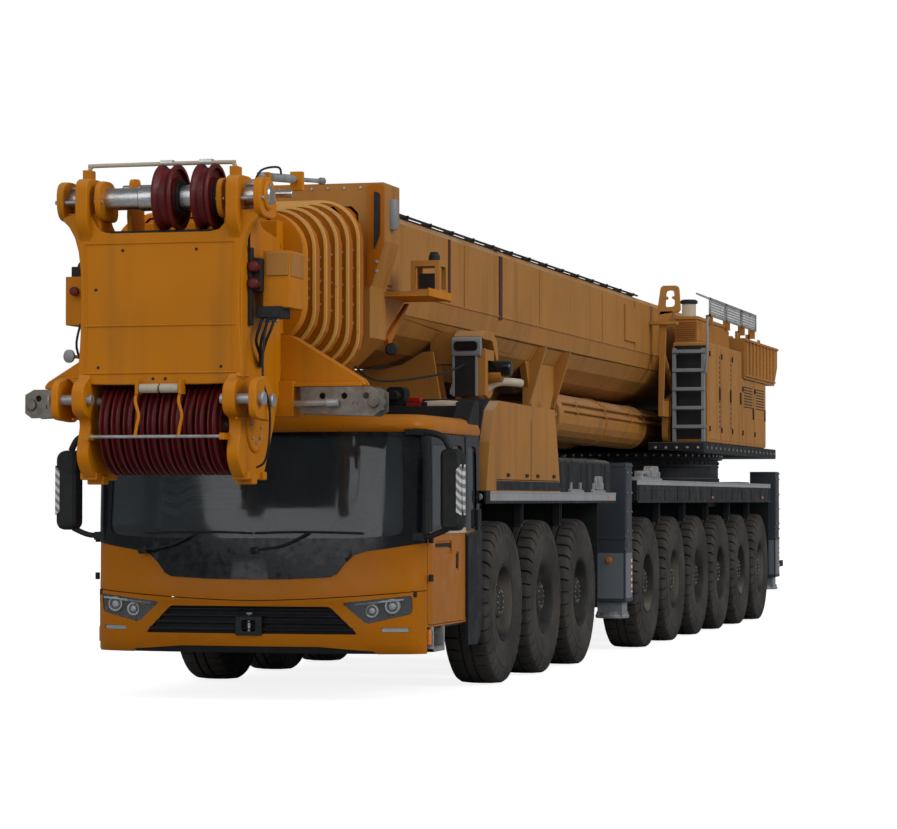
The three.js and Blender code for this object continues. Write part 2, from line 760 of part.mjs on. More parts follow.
function cableReel() {
  const { x, y, z, radius } = reel;
  return [
    block([boomHalf - 160, x[0] + 20], [y - 200, y + 200], [z + 100, 3260]),
    bar([x[0], y, z], [x[1] - 40, y, z], radius, 20),
    block([x[0], x[1]], [y - 300, y - 200], [z - 200, z + 200]),
    bar([x[1] - 60, y, z], [x[1] + 90, y, z], 70, 12),
    block([x[0], x[1]], [y - 300, y + 40], [z + 130, z + 230]),
  ];
}

function sideBracket() {
  return [
    block([boomHalf - 20, 1280], [-1900, -1150], [3440, 3480]),
    cut(block([1020, 1280], [-1560, -1300], [3470, 3770]),
      block([1060, 1240], [-1600, -1200], [3520, 3720]),
      block([1000, 1300], [-1520, -1340], [3520, 3720])),
    sideProfile([[-1860, 3100], [-1860, 3450], [-1200, 3450]], [boomHalf + 30, boomHalf + 70]),
  ];
}

const rodEye = { reach: rodRadius + 10, radius: 200 };
const lugPlate = 70;

function boomBaseSolid() {
  const [front, back] = baseCollarY;
  const shoulder = boomHalf + 200;
  const flank = boomHalf + 80;
  const collar = frontProfile([
    [shoulder, 3880], [shoulder, 4375], [-shoulder, 4375], [-shoulder, 3880], [-flank, 3500],
    [-flank, 3060], [-520, 2740], [520, 2740], [flank, 3060], [flank, 3500],
  ], [front, back]);
  const skin = frontProfile(boomOutline(0), [front, baseRear]);
  const rear = sideProfile([
    [baseRear - 300, boomTop], [baseRear - 300, boomBottom + 260], [15250, 3250],
    [15850, 3400], [16040, 3640], [16000, 3900], [15750, 4020], [15000, boomTop],
  ], [-boomHalf + 20, boomHalf - 20]);
  const bosses = bothSides([boomHalf - 100, cheek.x[0] - turnGap], [boomPivot.y - 190, boomPivot.y + 190],
    [boomPivot.z - 190, boomPivot.z + 190]);
  const lugOutline = [
    [4300, 3300], [6200, 3300], [5380, 2500], [5150, 2430], [4900, 2430], [4750, 2560],
  ];
  const lugs = [ramX - rodEye.reach - moveGap - lugPlate, ramX + rodEye.reach + moveGap]
    .flatMap((x) => [x, -x - lugPlate])
    .map((x) => sideProfile(lugOutline, [x, x + lugPlate]));
  const wingRoot = ramX + rodEye.reach + moveGap;
  const wing = [[wingRoot, 3320], [wingRoot, 2700], [wingRoot + 72, 2700], [boomHalf + 30, 3320]];
  const wings = [4550, 5750].flatMap((y) => [
    frontProfile(wing, [y, y + 50]),
    frontProfile(wing.map(([x, z]) => [-x, z]).reverse(), [y, y + 50]),
  ]);
  const pinHeads = [1, -1].map((side) => bar(
    [side * (ramX + rodEye.reach + 30), luffEye.y, luffEye.z],
    [side * (ramX + rodEye.reach + 120), luffEye.y, luffEye.z], 110, 20));
  const hollow = frontProfile(boomOutline(boomWall), [front - 10, baseRear - 60]);
  return cut(
    join(collar, skin, rear, ...bosses, ...lugs, ...wings, ...pinHeads, ...cableReel(),
      ...sideBracket(), pinAcross(-cheek.x[1] + 5, cheek.x[1] - 5, boomPivot)),
    hollow,
  );
}

const headBack = -4100;
const headX = [boomHalf - 240, boomHalf - 140]; // cheek plates of the boom head
const upperShaft = { y: -4960, z: 4010, radius: 80 };
const lowerShaft = { y: -4760, z: 2245, radius: 90 };
const lowerSheave = 375;
const upperSheave = 260;

function boomHeadSolid() {
  const inset = sectionStep * sectionCount;
  const rear = sectionRear - rearStagger * (sectionCount - 1);
  const front = collarFront(sectionCount);
  const stack = frontProfile(boomOutline(inset), [headBack, rear]);
  const hollow = frontProfile(boomOutline(inset + boomWall), [front + 400, rear + 10]);
  const pads = frontProfile(boomOutline(inset - sectionGap + turnGap), [rear - padLength, rear]);
  const collar = frontProfile(collarOutline(boomHalf + 10, 3990, 2920), [front, front + collarDepth]);
  const nose = block([-headX[1] + 20, headX[1] - 20], [headFront, headBack + 60], [2610, 3740]);
  const neck = block([-headX[1] + 20, headX[1] - 20], [headBack - 40, front + 20], [3000, 3900]);
  const cheekOutline = [
    [headFront - 60, 3880], [headFront - 110, 4060], [headFront - 40, 4150],
    [headFront + 230, 4150], [headFront + 420, 3780], [headBack, 3740], [headBack, 2620],
    [headBack - 120, 2350], [lowerShaft.y + 330, 2120], [lowerShaft.y + 160, 1880],
    [lowerShaft.y - 160, 1850], [lowerShaft.y - 330, 2010], [headFront, 2330],
    [noseStation, 2400], [noseStation, 2520], [headFront, 2640], [headFront, 3700],
  ];
  const cheeks = [headX, [-headX[1], -headX[0]]].map((x) => sideProfile(cheekOutline, x));
  const earX = [headX[1] + 110, headX[1] + 170];
  const webX = [headX[1] - 10, earX[0] + 10];
  const ears = [
    ...bothSides(earX, [headFront - 90, headFront + 230], [3860, 4130]),
    ...bothSides(webX, [headFront, headFront + 200], [3850, 3900]),
    ...bothSides(earX, [noseStation, headFront + 300], [2300, 2600]),
    ...bothSides(webX, [headFront, headFront + 280], [2400, 2500]),
  ];
  const arms = bothSides([headX[1] - 60, halfWidth], [-4110, -3930], [2450, 2640]);
  const root = headX[1] - 50;
  const gussets = [
    frontProfile([[root, 2620], [1330, 2620], [root, 2985]], [-4060, -4010]),
    frontProfile([[-root, 2620], [-root, 2985], [-1330, 2620]], [-4060, -4010]),
  ];
  const sideBoxes = bothSides([webX[0], earX[1]], [headFront + 120, headFront + 460], [3040, 3480]);
  const body = join(stack, pads, collar, nose, neck, ...cheeks, ...ears, ...arms, ...gussets,
    ...sideBoxes);
  return cut(body, hollow, holeAcross(-earX[1] - 70, earX[1] + 70, upperShaft),
    bar([-headX[0] + 10, lowerShaft.y, lowerShaft.z], [headX[0] - 10, lowerShaft.y, lowerShaft.z],
      lowerSheave + 25, 24));
}

function lowerSheavesSolid() {
  const { y, z } = lowerShaft;
  const reach = headX[0] - turnGap;
  return join(
    bar([-reach, y, z], [reach, y, z], lowerShaft.radius, pinSides),
    bar([-reach + 70, y, z], [reach - 70, y, z], lowerSheave, 24),
  );
}

function upperSheavesSolid() {
  const { y, z } = upperShaft;
  const discs = [60, 360].map((x) => bar([x - 55, y, z], [x + 55, y, z], upperSheave, 24));
  const end = headX[1] + 210;
  return join(pinAcross(-end, end, upperShaft), ...discs);
}

// ---------------------------------------------------------------- luffing rams

const barrelFront = 5900; // station of the gland end
const ramLength = Math.hypot(luffFoot.y - luffEye.y, luffFoot.z - luffEye.z);
const ramAngle = Math.atan2(luffEye.z - luffFoot.z, luffFoot.y - luffEye.y);
const barrelLength = luffFoot.y - barrelFront;
const boreRear = 700;

// A point on a ram's axis, at a distance from its foot pin.
const onRam = (x, distance) => [
  x, luffFoot.y - distance * Math.cos(ramAngle), luffFoot.z + distance * Math.sin(ramAngle),
];

// The two barrels, held together by a bridge behind their glands.
function luffingBarrelsSolid() {
  const pieces = [];
  const bores = [];
  for (const x of [-ramX, ramX]) {
    pieces.push(
      bar([x - footEye.reach, luffFoot.y, luffFoot.z], [x + footEye.reach, luffFoot.y, luffFoot.z],
        footEye.radius, 24),
      bar(onRam(x, 60), onRam(x, 500), barrelRadius - 50, 20),
      bar(onRam(x, 420), onRam(x, barrelLength - 100), barrelRadius, 20),
      bar(onRam(x, barrelLength - 160), onRam(x, barrelLength), barrelRadius + 22, 20),
    );
    bores.push(bar(onRam(x, boreRear), onRam(x, barrelLength + 20), rodRadius + turnGap, 24));
  }
  const [, y, z] = onRam(0, barrelLength - 500);
  pieces.push(block([-ramX + 200, ramX - 200], [y - 90, y + 90], [z - 70, z + 70]));
  return cut(join(...pieces), holeAcross(-1000, 1000, luffFoot), ...bores);
}

// A rod with its eye, on the vehicle's left.
function luffingRodSolid() {
  const [near, far] = [ramX - rodEye.reach, ramX + rodEye.reach];
  return join(
    bar(onRam(ramX, boreRear + 60), onRam(ramX, ramLength - 120), rodRadius, 24),
    bar([near, luffEye.y, luffEye.z], [far, luffEye.y, luffEye.z], rodEye.radius, 20),
  );
}

// ---------------------------------------------------------------- assembly

addRunningGear();
addOutriggers();
place("chassis_frame", chassisSolid(), darkGrey);
place("deck", deckSolid(), deckGrey);
addCab();
addEngine();
place("turntable", turntableSolid(), yellow);
place("hoist_winch", winchSolid(), steel);
place("engine_house", engineHouseSolid(), yellow);
place("counterweight", counterweightSolid(), yellow);
place("operator_cab", operatorCabSolid(), yellow);
place("operator_door", operatorDoorSolid(), black);
place("luffing_barrels", luffingBarrelsSolid(), yellow);
place("luffing_rod_left", luffingRodSolid(), steel);
place("luffing_rod_right", luffingRodSolid(), steel, [0, 0, 0], true);
place("boom_base", boomBaseSolid(), yellow);
for (let i = 1; i < sectionCount; i++) place(`boom_section_${i}`, sectionSolid(i), yellow);
place("boom_head", boomHeadSolid(), yellow);
place("lower_sheaves", lowerSheavesSolid(), sheaveRed);
place("upper_sheaves", upperSheavesSolid(), sheaveRed);

export default crane;
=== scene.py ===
"""Looks of a nine-axle mobile crane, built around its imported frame.

Metres, +Z up, -Y forward, +X the vehicle's left. Lengths along the vehicle are stations:
distance behind the first axle. A Shape turns them into frame coordinates.
"""
import math

import bmesh
import bpy
from mathutils import Matrix, Vector


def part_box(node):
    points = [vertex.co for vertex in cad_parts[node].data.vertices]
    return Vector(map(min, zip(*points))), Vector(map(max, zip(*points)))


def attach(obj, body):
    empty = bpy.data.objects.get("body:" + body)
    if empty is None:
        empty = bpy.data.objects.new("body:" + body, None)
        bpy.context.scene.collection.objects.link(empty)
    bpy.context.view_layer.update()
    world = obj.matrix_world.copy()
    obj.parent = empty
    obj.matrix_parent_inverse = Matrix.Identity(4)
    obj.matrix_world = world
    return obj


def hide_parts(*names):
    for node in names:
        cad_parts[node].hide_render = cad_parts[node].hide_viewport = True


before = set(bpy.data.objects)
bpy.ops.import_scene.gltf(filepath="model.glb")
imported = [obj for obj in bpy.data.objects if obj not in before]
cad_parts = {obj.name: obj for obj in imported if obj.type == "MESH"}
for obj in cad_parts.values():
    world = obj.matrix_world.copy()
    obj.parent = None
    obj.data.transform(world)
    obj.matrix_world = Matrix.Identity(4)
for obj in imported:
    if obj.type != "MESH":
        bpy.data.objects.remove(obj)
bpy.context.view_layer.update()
scene = bpy.context.scene

wheel_low, wheel_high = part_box("wheel_1_left")
FIRST_AXLE = (wheel_low.y + wheel_high.y) / 2
HUB_HEIGHT = (wheel_low.z + wheel_high.z) / 2
TYRE_HALF = (wheel_high.x - wheel_low.x) / 2


# ------------------------------------------------------------------ camera, light and floor


def set_camera():
    yaw = math.radians(14.813)
    pitch = math.radians(1.6415)
    data = bpy.data.cameras.new("camera")
    data.sensor_width = 36
    data.sensor_fit = "HORIZONTAL"
    data.lens = 119.64
    data.clip_end = 400
    camera = bpy.data.objects.new("camera", data)
    scene.collection.objects.link(camera)
    camera.location = (7.982, FIRST_AXLE - 26.593, 1.681)
    ahead = Vector((-math.sin(yaw) * math.cos(pitch), math.cos(yaw) * math.cos(pitch), math.sin(pitch)))
    camera.rotation_euler = ahead.to_track_quat("-Z", "Y").to_euler()
    scene.camera = camera


def set_light():
    """White for the camera, a soft sky for the object and a dim one for its reflections."""
    scene.view_settings.view_transform = "Standard"
    world = bpy.data.worlds.new("studio")
    scene.world = world
    world.use_nodes = True
    tree = world.node_tree
    sky = tree.nodes["Background"]
    sky.inputs["Color"].default_value = (0.95, 0.97, 1.0, 1)
    white = tree.nodes.new("ShaderNodeBackground")
    white.inputs["Color"].default_value = (1, 1, 1, 1)
    white.inputs["Strength"].default_value = 1.0
    path = tree.nodes.new("ShaderNodeLightPath")
    dim = tree.nodes.new("ShaderNodeMapRange")
    dim.inputs["To Min"].default_value = 0.62
    dim.inputs["To Max"].default_value = 0.2
    tree.links.new(path.outputs["Is Glossy Ray"], dim.inputs["Value"])
    tree.links.new(dim.outputs["Result"], sky.inputs["Strength"])
    mix = tree.nodes.new("ShaderNodeMixShader")
    tree.links.new(path.outputs["Is Camera Ray"], mix.inputs[0])
    tree.links.new(sky.outputs[0], mix.inputs[1])
    tree.links.new(white.outputs[0], mix.inputs[2])
    tree.links.new(mix.outputs[0], tree.nodes["World Output"].inputs["Surface"])
    for name, energy, spread, towards in (("key", 1.15, 30, (-0.86, 0.16, -0.48)),
            ("front_fill", 0.75, 50, (0.1, 0.9, -0.42))):
        light = bpy.data.lights.new(name, "SUN")
        light.energy = energy
        light.angle = math.radians(spread)
        lamp = bpy.data.objects.new(name, light)
        scene.collection.objects.link(lamp)
        lamp.rotation_euler = Vector(towards).to_track_quat("-Z", "Y").to_euler()


def set_floor():
    """Nearly white for the camera, dark for the light that would bounce off it."""
    material = bpy.data.materials.new("studio_floor")
    material.use_nodes = True
    tree = material.node_tree
    tree.nodes.clear()
    shown = tree.nodes.new("ShaderNodeBsdfDiffuse")
    shown.inputs["Color"].default_value = (0.35, 0.35, 0.35, 1)
    glow = tree.nodes.new("ShaderNodeEmission")
    glow.inputs["Strength"].default_value = 0.86
    add = tree.nodes.new("ShaderNodeAddShader")
    dark = tree.nodes.new("ShaderNodeBsdfDiffuse")
    dark.inputs["Color"].default_value = (0.32, 0.32, 0.32, 1)
    path = tree.nodes.new("ShaderNodeLightPath")
    mix = tree.nodes.new("ShaderNodeMixShader")
    out = tree.nodes.new("ShaderNodeOutputMaterial")
    tree.links.new(shown.outputs[0], add.inputs[0])
    tree.links.new(glow.outputs[0], add.inputs[1])
    tree.links.new(path.outputs["Is Camera Ray"], mix.inputs[0])
    tree.links.new(dark.outputs[0], mix.inputs[1])
    tree.links.new(add.outputs[0], mix.inputs[2])
    tree.links.new(mix.outputs[0], out.inputs["Surface"])
    mesh = bpy.data.meshes.new("studio_floor")
    reach = 150
    level = -0.002
    mesh.from_pydata([(-reach, -reach, level), (reach, -reach, level), (reach, reach, level),
        (-reach, reach, level)], [], [(0, 1, 2, 3)])
    mesh.materials.append(material)
    floor = bpy.data.objects.new("studio_floor", mesh)
    scene.collection.objects.link(floor)


set_camera()
set_light()
set_floor()

# ------------------------------------------------------------------ materials


class Look:
    """A material whose colour, roughness and bump come from procedural nodes."""

    def __init__(self, name, rough=0.5, metal=0.0, **sockets):
        self.material = bpy.data.materials.new(name)
        self.material.use_nodes = True
        self.tree = self.material.node_tree
        self.shader = self.tree.nodes["Principled BSDF"]
        self.shader.inputs["Roughness"].default_value = rough
        self.shader.inputs["Metallic"].default_value = metal
        for socket, value in sockets.items():
            self.shader.inputs[socket.replace("_", " ")].default_value = value
        self.coords = self.tree.nodes.new("ShaderNodeTexCoord")

    def put(self, value, socket):
        if isinstance(value, bpy.types.NodeSocket):
            self.tree.links.new(value, socket)
        elif hasattr(value, "__len__"):
            socket.default_value = (*value, 1) if len(value) == 3 else value
        else:
            socket.default_value = value

    def placed(self, stretch):
        mapping = self.tree.nodes.new("ShaderNodeMapping")
        mapping.inputs["Scale"].default_value = stretch
        self.tree.links.new(self.coords.outputs["Object"], mapping.inputs["Vector"])
        return mapping.outputs["Vector"]

    def noise(self, scale, detail=3.0, stretch=(1, 1, 1)):
        node = self.tree.nodes.new("ShaderNodeTexNoise")
        node.inputs["Scale"].default_value = scale
        node.inputs["Detail"].default_value = detail
        self.tree.links.new(self.placed(stretch), node.inputs["Vector"])
        return node.outputs["Fac"]

    def wave(self, scale, stretch=(1, 1, 1), direction="X", profile="SIN"):
        node = self.tree.nodes.new("ShaderNodeTexWave")
        node.bands_direction = direction
        node.wave_profile = profile
        node.inputs["Scale"].default_value = scale
        self.tree.links.new(self.placed(stretch), node.inputs["Vector"])
        return node.outputs["Fac"]

    def span(self, value, low, high, to_low=0.0, to_high=1.0):
        node = self.tree.nodes.new("ShaderNodeMapRange")
        self.put(value, node.inputs["Value"])
        for name, number in (("From Min", low), ("From Max", high), ("To Min", to_low),
                ("To Max", to_high)):
            node.inputs[name].default_value = number
        return node.outputs["Result"]

    def math(self, operation, a, b):
        node = self.tree.nodes.new("ShaderNodeMath")
        node.operation = operation
        self.put(a, node.inputs[0])
        self.put(b, node.inputs[1])
        return node.outputs[0]

    def blend(self, factor, a, b):
        node = self.tree.nodes.new("ShaderNodeMix")
        node.data_type = "RGBA"
        self.put(factor, node.inputs["Factor"])
        self.put(a, node.inputs["A"])
        self.put(b, node.inputs["B"])
        return node.outputs["Result"]

    def facing_up(self):
        split = self.tree.nodes.new("ShaderNodeSeparateXYZ")
        self.tree.links.new(self.coords.outputs["Normal"], split.inputs[0])
        return split.outputs["Z"]

    def colour(self, value):
        self.put(value, self.shader.inputs["Base Color"])

    def roughness(self, value):
        self.put(value, self.shader.inputs["Roughness"])

    def bump(self, height, depth):
        node = self.tree.nodes.new("ShaderNodeBump")
        node.inputs["Distance"].default_value = depth
        node.inputs["Strength"].default_value = 0.6
        self.put(height, node.inputs["Height"])
        self.tree.links.new(node.outputs["Normal"], self.shader.inputs["Normal"])


def shade(colour, factor):
    return tuple(c * factor for c in colour)


def paint(name, colour, rough=0.4, dirt=(0.1, 0.07, 0.045), dust=(0.42, 0.36, 0.28), streaks=0.35,
        dusting=0.35, metal=0.0, sheen=0.35):
    look = Look(name, rough, metal, Specular_IOR_Level=sheen)
    base = look.blend(look.span(look.noise(0.55, 4), 0.35, 0.68), colour, shade(colour, 0.8))
    run = look.noise(4.5, 5, stretch=(1, 1, 0.1))
    marks = look.math("MULTIPLY", look.span(run, 0.52, 0.8), streaks)
    base = look.blend(marks, base, dirt)
    chips = look.math("MULTIPLY", look.span(look.noise(34, 3), 0.7, 0.74), 0.55)
    base = look.blend(chips, base, dirt)
    lying = look.span(look.facing_up(), 0.25, 0.95)
    patchy = look.span(look.noise(2.2, 5), 0.3, 0.75)
    base = look.blend(look.math("MULTIPLY", look.math("MULTIPLY", lying, patchy), dusting), base, dust)
    look.colour(base)
    look.roughness(look.span(look.noise(7, 4), 0.3, 0.7, rough - 0.07, rough + 0.16))
    look.bump(look.noise(220, 2), 0.0006)
    return look.material


def metal_look(name, colour, rough, metal=1.0, grain=(1, 1, 1), stain=(0.12, 0.09, 0.07), stained=0.3):
    look = Look(name, rough, metal)
    base = look.blend(look.span(look.noise(12, 4, grain), 0.35, 0.65), colour, shade(colour, 0.72))
    spots = look.math("MULTIPLY", look.span(look.noise(5, 5), 0.5, 0.78), stained)
    look.colour(look.blend(spots, base, stain))
    look.roughness(look.span(look.noise(40, 3, grain), 0.3, 0.7, rough - 0.08, rough + 0.14))
    look.bump(look.noise(160, 3, grain), 0.0005)
    return look.material


def rubber_look():
    look = Look("tyre_rubber_look", 0.86)
    base = look.blend(look.span(look.noise(9, 5), 0.3, 0.7), (0.014, 0.013, 0.012),
        (0.032, 0.028, 0.024))
    dusty = look.math("MULTIPLY", look.span(look.noise(2.5, 5), 0.38, 0.75), 0.65)
    look.colour(look.blend(dusty, base, (0.075, 0.062, 0.05)))
    look.roughness(look.span(look.noise(25, 3), 0.3, 0.7, 0.78, 0.95))
    look.bump(look.noise(130, 4), 0.0012)
    return look.material


def glass_look(name, colour, share):
    look = Look(name, 0.06, 0.0, IOR=1.5, Transmission_Weight=share, Specular_IOR_Level=0.3)
    look.colour(look.blend(look.span(look.noise(1.6, 3), 0.35, 0.7), colour, shade(colour, 0.7)))
    look.roughness(look.span(look.noise(3, 4), 0.35, 0.8, 0.03, 0.12))
    return look.material


def plastic_look(name, colour, rough=0.5, grain=300):
    look = Look(name, rough, Specular_IOR_Level=0.35)
    look.colour(look.blend(look.span(look.noise(6, 4), 0.35, 0.7), colour, shade(colour, 1.5)))
    look.roughness(look.span(look.noise(18, 3), 0.3, 0.7, rough - 0.1, rough + 0.12))
    look.bump(look.noise(grain, 2), 0.0006)
    return look.material


def lens_look(name, colour):
    look = Look(name, 0.12, Coat_Weight=0.6)
    ribs = look.wave(26, direction="Z", profile="TRI")
    look.colour(look.blend(ribs, colour, shade(colour, 0.6)))
    look.bump(ribs, 0.002)
    return look.material


def striped_look(name, light, dark):
    look = Look(name, 0.35)
    bands = look.span(look.wave(9, stretch=(1, 0, 1), direction="DIAGONAL"), 0.48, 0.52)
    look.colour(look.blend(bands, light, dark))
    look.bump(look.noise(400, 2), 0.0003)
    return look.material


def tread_plate_look(name, colour):
    look = Look(name, 0.55, 0.25)
    studs = look.math("MULTIPLY", look.span(look.wave(9, direction="DIAGONAL"), 0.75, 0.9),
        look.span(look.wave(9, (-1, 1, 1), "DIAGONAL"), 0.35, 0.6))
    base = look.blend(look.span(look.noise(1.4, 5), 0.35, 0.7), colour, shade(colour, 0.6))
    look.colour(look.blend(look.math("MULTIPLY", studs, 0.3), base, shade(colour, 1.5)))
    look.bump(studs, 0.003)
    return look.material


def rope_look():
    look = Look("wire_rope_look", 0.45, 0.8)
    lay = look.wave(60, (1, 1, 1), "DIAGONAL")
    look.colour(look.blend(lay, (0.16, 0.15, 0.14), (0.05, 0.045, 0.04)))
    look.bump(lay, 0.002)
    return look.material


def fabric_look():
    look = Look("seat_fabric_look", 0.9, Sheen_Weight=0.3)
    weave = look.math("MULTIPLY", look.wave(120, direction="X"), look.wave(120, direction="Z"))
    look.colour(look.blend(weave, (0.03, 0.032, 0.036), (0.07, 0.075, 0.08)))
    look.bump(weave, 0.001)
    return look.material


RUST = (0.15, 0.07, 0.016)
SAND = (0.38, 0.26, 0.13)
YELLOW = paint("crane_yellow_look", (0.57, 0.19, 0.001), 0.45, dirt=RUST, dust=SAND, streaks=0.4,
    dusting=0.4, sheen=0.15)
YELLOW_DUSTY = paint("dusty_yellow_look", (0.42, 0.18, 0.034), 0.5, dirt=RUST, streaks=0.55,
    dusting=0.6, sheen=0.2)
# Darker copy of the crane yellow for the boom sections and base collar parts: painted shade.
YELLOW_PAINTED_SHADE = paint("section_yellow_painted_shade_look", (0.42, 0.118, 0.001), 0.45, dirt=RUST, dust=SAND,
    streaks=0.35, dusting=0.3, sheen=0.15)
YELLOW_CLEAN = paint("cab_yellow_look", (0.41, 0.13, 0.001), 0.3, dirt=RUST, dust=SAND, streaks=0.12,
    dusting=0.2, sheen=0.15)
BLACK = paint("chassis_black_look", (0.008, 0.01, 0.014), 0.5, dirt=(0.09, 0.075, 0.06), streaks=0.22,
    dusting=0.45)
GLOSS = plastic_look("gloss_black_look", (0.005, 0.006, 0.008), 0.18, 40)
MATT = plastic_look("matt_black_look", (0.009, 0.01, 0.011), 0.6)
DECK = tread_plate_look("deck_plate_look", (0.2, 0.215, 0.225))
RAIL = paint("rail_grey_look", (0.33, 0.34, 0.35), 0.45, streaks=0.3, dusting=0.3)
GREY = paint("ladder_grey_look", (0.22, 0.235, 0.25), 0.45, streaks=0.25)
BEIGE = paint("beige_look", (0.5, 0.43, 0.33), 0.5, streaks=0.5)
RUBBER = rubber_look()
RIM = paint("rim_look", (0.02, 0.019, 0.018), 0.6, dirt=(0.1, 0.07, 0.045), streaks=0.6, dusting=0.5)
STEEL = metal_look("ground_steel_look", (0.72, 0.73, 0.73), 0.28, grain=(1, 12, 12))
WORN = metal_look("weathered_metal_look", (0.27, 0.25, 0.22), 0.55, 0.7, stained=0.8)
ZINC = metal_look("galvanised_look", (0.5, 0.52, 0.52), 0.5, 0.75, stained=0.5)
RED = plastic_look("sheave_red_look", (0.08, 0.003, 0.003), 0.45, 120)
GLASS = glass_look("cab_glass_look", (0.22, 0.27, 0.3), 0.9)
CLEAR = glass_look("lamp_glass_look", (0.85, 0.88, 0.9), 0.95)
AMBER = lens_look("amber_lens_look", (0.85, 0.22, 0.01))
RED_LENS = lens_look("red_lens_look", (0.45, 0.01, 0.01))
WHITE_LENS = lens_look("white_lens_look", (0.36, 0.38, 0.4))
STRIPES = striped_look("mirror_panel_look", (0.62, 0.62, 0.62), (0.2, 0.2, 0.21))
# Pale colour for the papers on the dash and for slats that are painted reflections in the windscreen.
PAPER_AND_REFLECTION = plastic_look("paper_and_painted_reflection_look", (0.75, 0.77, 0.76), 0.8, 90)
ROPE = rope_look()
FABRIC = fabric_look()
SLOTS = {look: slot for slot, looks in (("crane_yellow",
    (YELLOW, YELLOW_DUSTY, YELLOW_PAINTED_SHADE, YELLOW_CLEAN)), ("chassis_black", (BLACK,)),
    ("operator_black", (MATT, GLOSS, FABRIC)), ("cab_glass", (GLASS, CLEAR)),
    ("bright_steel", (ZINC, STEEL, WORN)), ("deck_grey", (RAIL, DECK, GREY)), ("sheave_red", (RED,)))
    for look in looks}


# ------------------------------------------------------------------ shapes


def ring(centre, radius, axis, sides):
    """Points of a circle about an axis through its centre."""
    axis = Vector(axis).normalized()
    side = axis.orthogonal().normalized()
    other = axis.cross(side)
    return [Vector(centre) + radius * (math.cos(a) * side + math.sin(a) * other)
        for a in (2 * math.pi * i / sides for i in range(sides))]


def arc(cx, cy, radius, start, end, steps):
    """Points of an arc from one angle to another, in degrees."""
    return [(cx + radius * math.cos(math.radians(start + (end - start) * i / steps)),
        cy + radius * math.sin(math.radians(start + (end - start) * i / steps)))
        for i in range(steps + 1)]


def smooth_line(points, steps):
    """A curve through the points, with that many steps between each two."""
    pts = [Vector(p) for p in points]
    count = len(pts)
    out = []
    for i in range(count - 1):
        a, b, c, d = (pts[min(max(i + k, 0), count - 1)] for k in (-1, 0, 1, 2))
        for k in range(steps):
            t = k / steps
            out.append(0.5 * (2 * b + (c - a) * t + (2 * a - 5 * b + 4 * c - d) * t * t
                + (3 * b - a - 3 * c + d) * t ** 3))
    out.append(pts[-1])
    return out


class Shape:
    """A mesh in the making, its lengths given as stations, or from another origin in Y.

    Faces take the material that is current when they are made.
    """

    def __init__(self, origin=FIRST_AXLE):
        self.bm = bmesh.new()
        self.current = 0
        self.origin = origin

    def use(self, index):
        self.current = index
        return self

    def face(self, corners):
        made = self.bm.faces.new(corners)
        made.material_index = self.current
        return made

    def loft(self, rings, closed=False):
        """Skins rings of as many points each; closed joins the last ring to the first."""
        rows = [[self.bm.verts.new((x, y + self.origin, z)) for x, y, z in r] for r in rings]
        pairs = list(zip(rows, rows[1:])) + ([(rows[-1], rows[0])] if closed else [])
        for low, high in pairs:
            for i in range(len(low)):
                j = (i + 1) % len(low)
                self.face((low[i], low[j], high[j], high[i]))
        if not closed:
            self.face(list(reversed(rows[0])))
            self.face(rows[-1])
        return self

    def prism(self, axis, outline, span):
        """An outline in the other two axes, in X, Y, Z order, carried along an axis."""
        def place(p, along_axis):
            values = list(p)
            values.insert("XYZ".index(axis), along_axis)
            return values
        return self.loft([[place(p, s) for p in outline] for s in span])

    def box(self, x, y, z):
        return self.prism("Z", [(x[0], y[0]), (x[1], y[0]), (x[1], y[1]), (x[0], y[1])], z)

    def bar(self, a, b, radius, sides=20):
        """A round bar with broken edges."""
        a, b = Vector(a), Vector(b)
        axis = (b - a).normalized()
        lip = min(0.12 * radius, 0.3 * (b - a).length)
        return self.loft([ring(a, radius - lip, axis, sides), ring(a + axis * lip, radius, axis, sides),
            ring(b - axis * lip, radius, axis, sides), ring(b, radius - lip, axis, sides)])

    def pipe(self, points, radius, sides=10, smooth=5):
        """A round bar that follows a curve through the points."""
        line = smooth_line(points, smooth) if smooth else [Vector(p) for p in points]
        side = (line[1] - line[0]).orthogonal().normalized()
        rings = []
        for i, p in enumerate(line):
            ahead = (line[min(i + 1, len(line) - 1)] - line[max(i - 1, 0)]).normalized()
            side = (side - ahead * side.dot(ahead)).normalized()
            other = ahead.cross(side)
            rings.append([p + radius * (math.cos(a) * side + math.sin(a) * other)
                for a in (2 * math.pi * k / sides for k in range(sides))])
        return self.loft(rings)

    def turned(self, profile, centre, axis=(1, 0, 0), sides=48):
        """A profile of (distance along the axis, radius) turned about it; both ends close."""
        axis = Vector(axis).normalized()
        tiny = 0.0005
        return self.loft([ring(Vector(centre) + axis * h, max(r, tiny), axis, sides)
            for h, r in profile])

    def bolts(self, places, axis, radius=0.012, height=0.012):
        axis = Vector(axis).normalized()
        for place in places:
            foot = Vector(place)
            self.loft([ring(foot, radius, axis, 6), ring(foot + axis * height * 0.8, radius, axis, 6),
                ring(foot + axis * height, radius * 0.8, axis, 6)])
        return self

    def mesh(self, name, materials):
        bmesh.ops.recalc_face_normals(self.bm, faces=self.bm.faces[:])
        mesh = bpy.data.meshes.new(name)
        self.bm.to_mesh(mesh)
        for material in materials:
            mesh.materials.append(material)
        return mesh


def finish_piece(obj, body, slot, bevel, angle):
    obj.data.polygons.foreach_set("use_smooth", [True] * len(obj.data.polygons))
    obj.data.set_sharp_from_angle(angle=math.radians(angle))
    if bevel:
        edges = obj.modifiers.new("edges", "BEVEL")
        edges.width = bevel
        edges.segments = 2
        edges.limit_method = "ANGLE"
        edges.angle_limit = math.radians(38)
        edges.harden_normals = True
    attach(obj, body)
    return obj


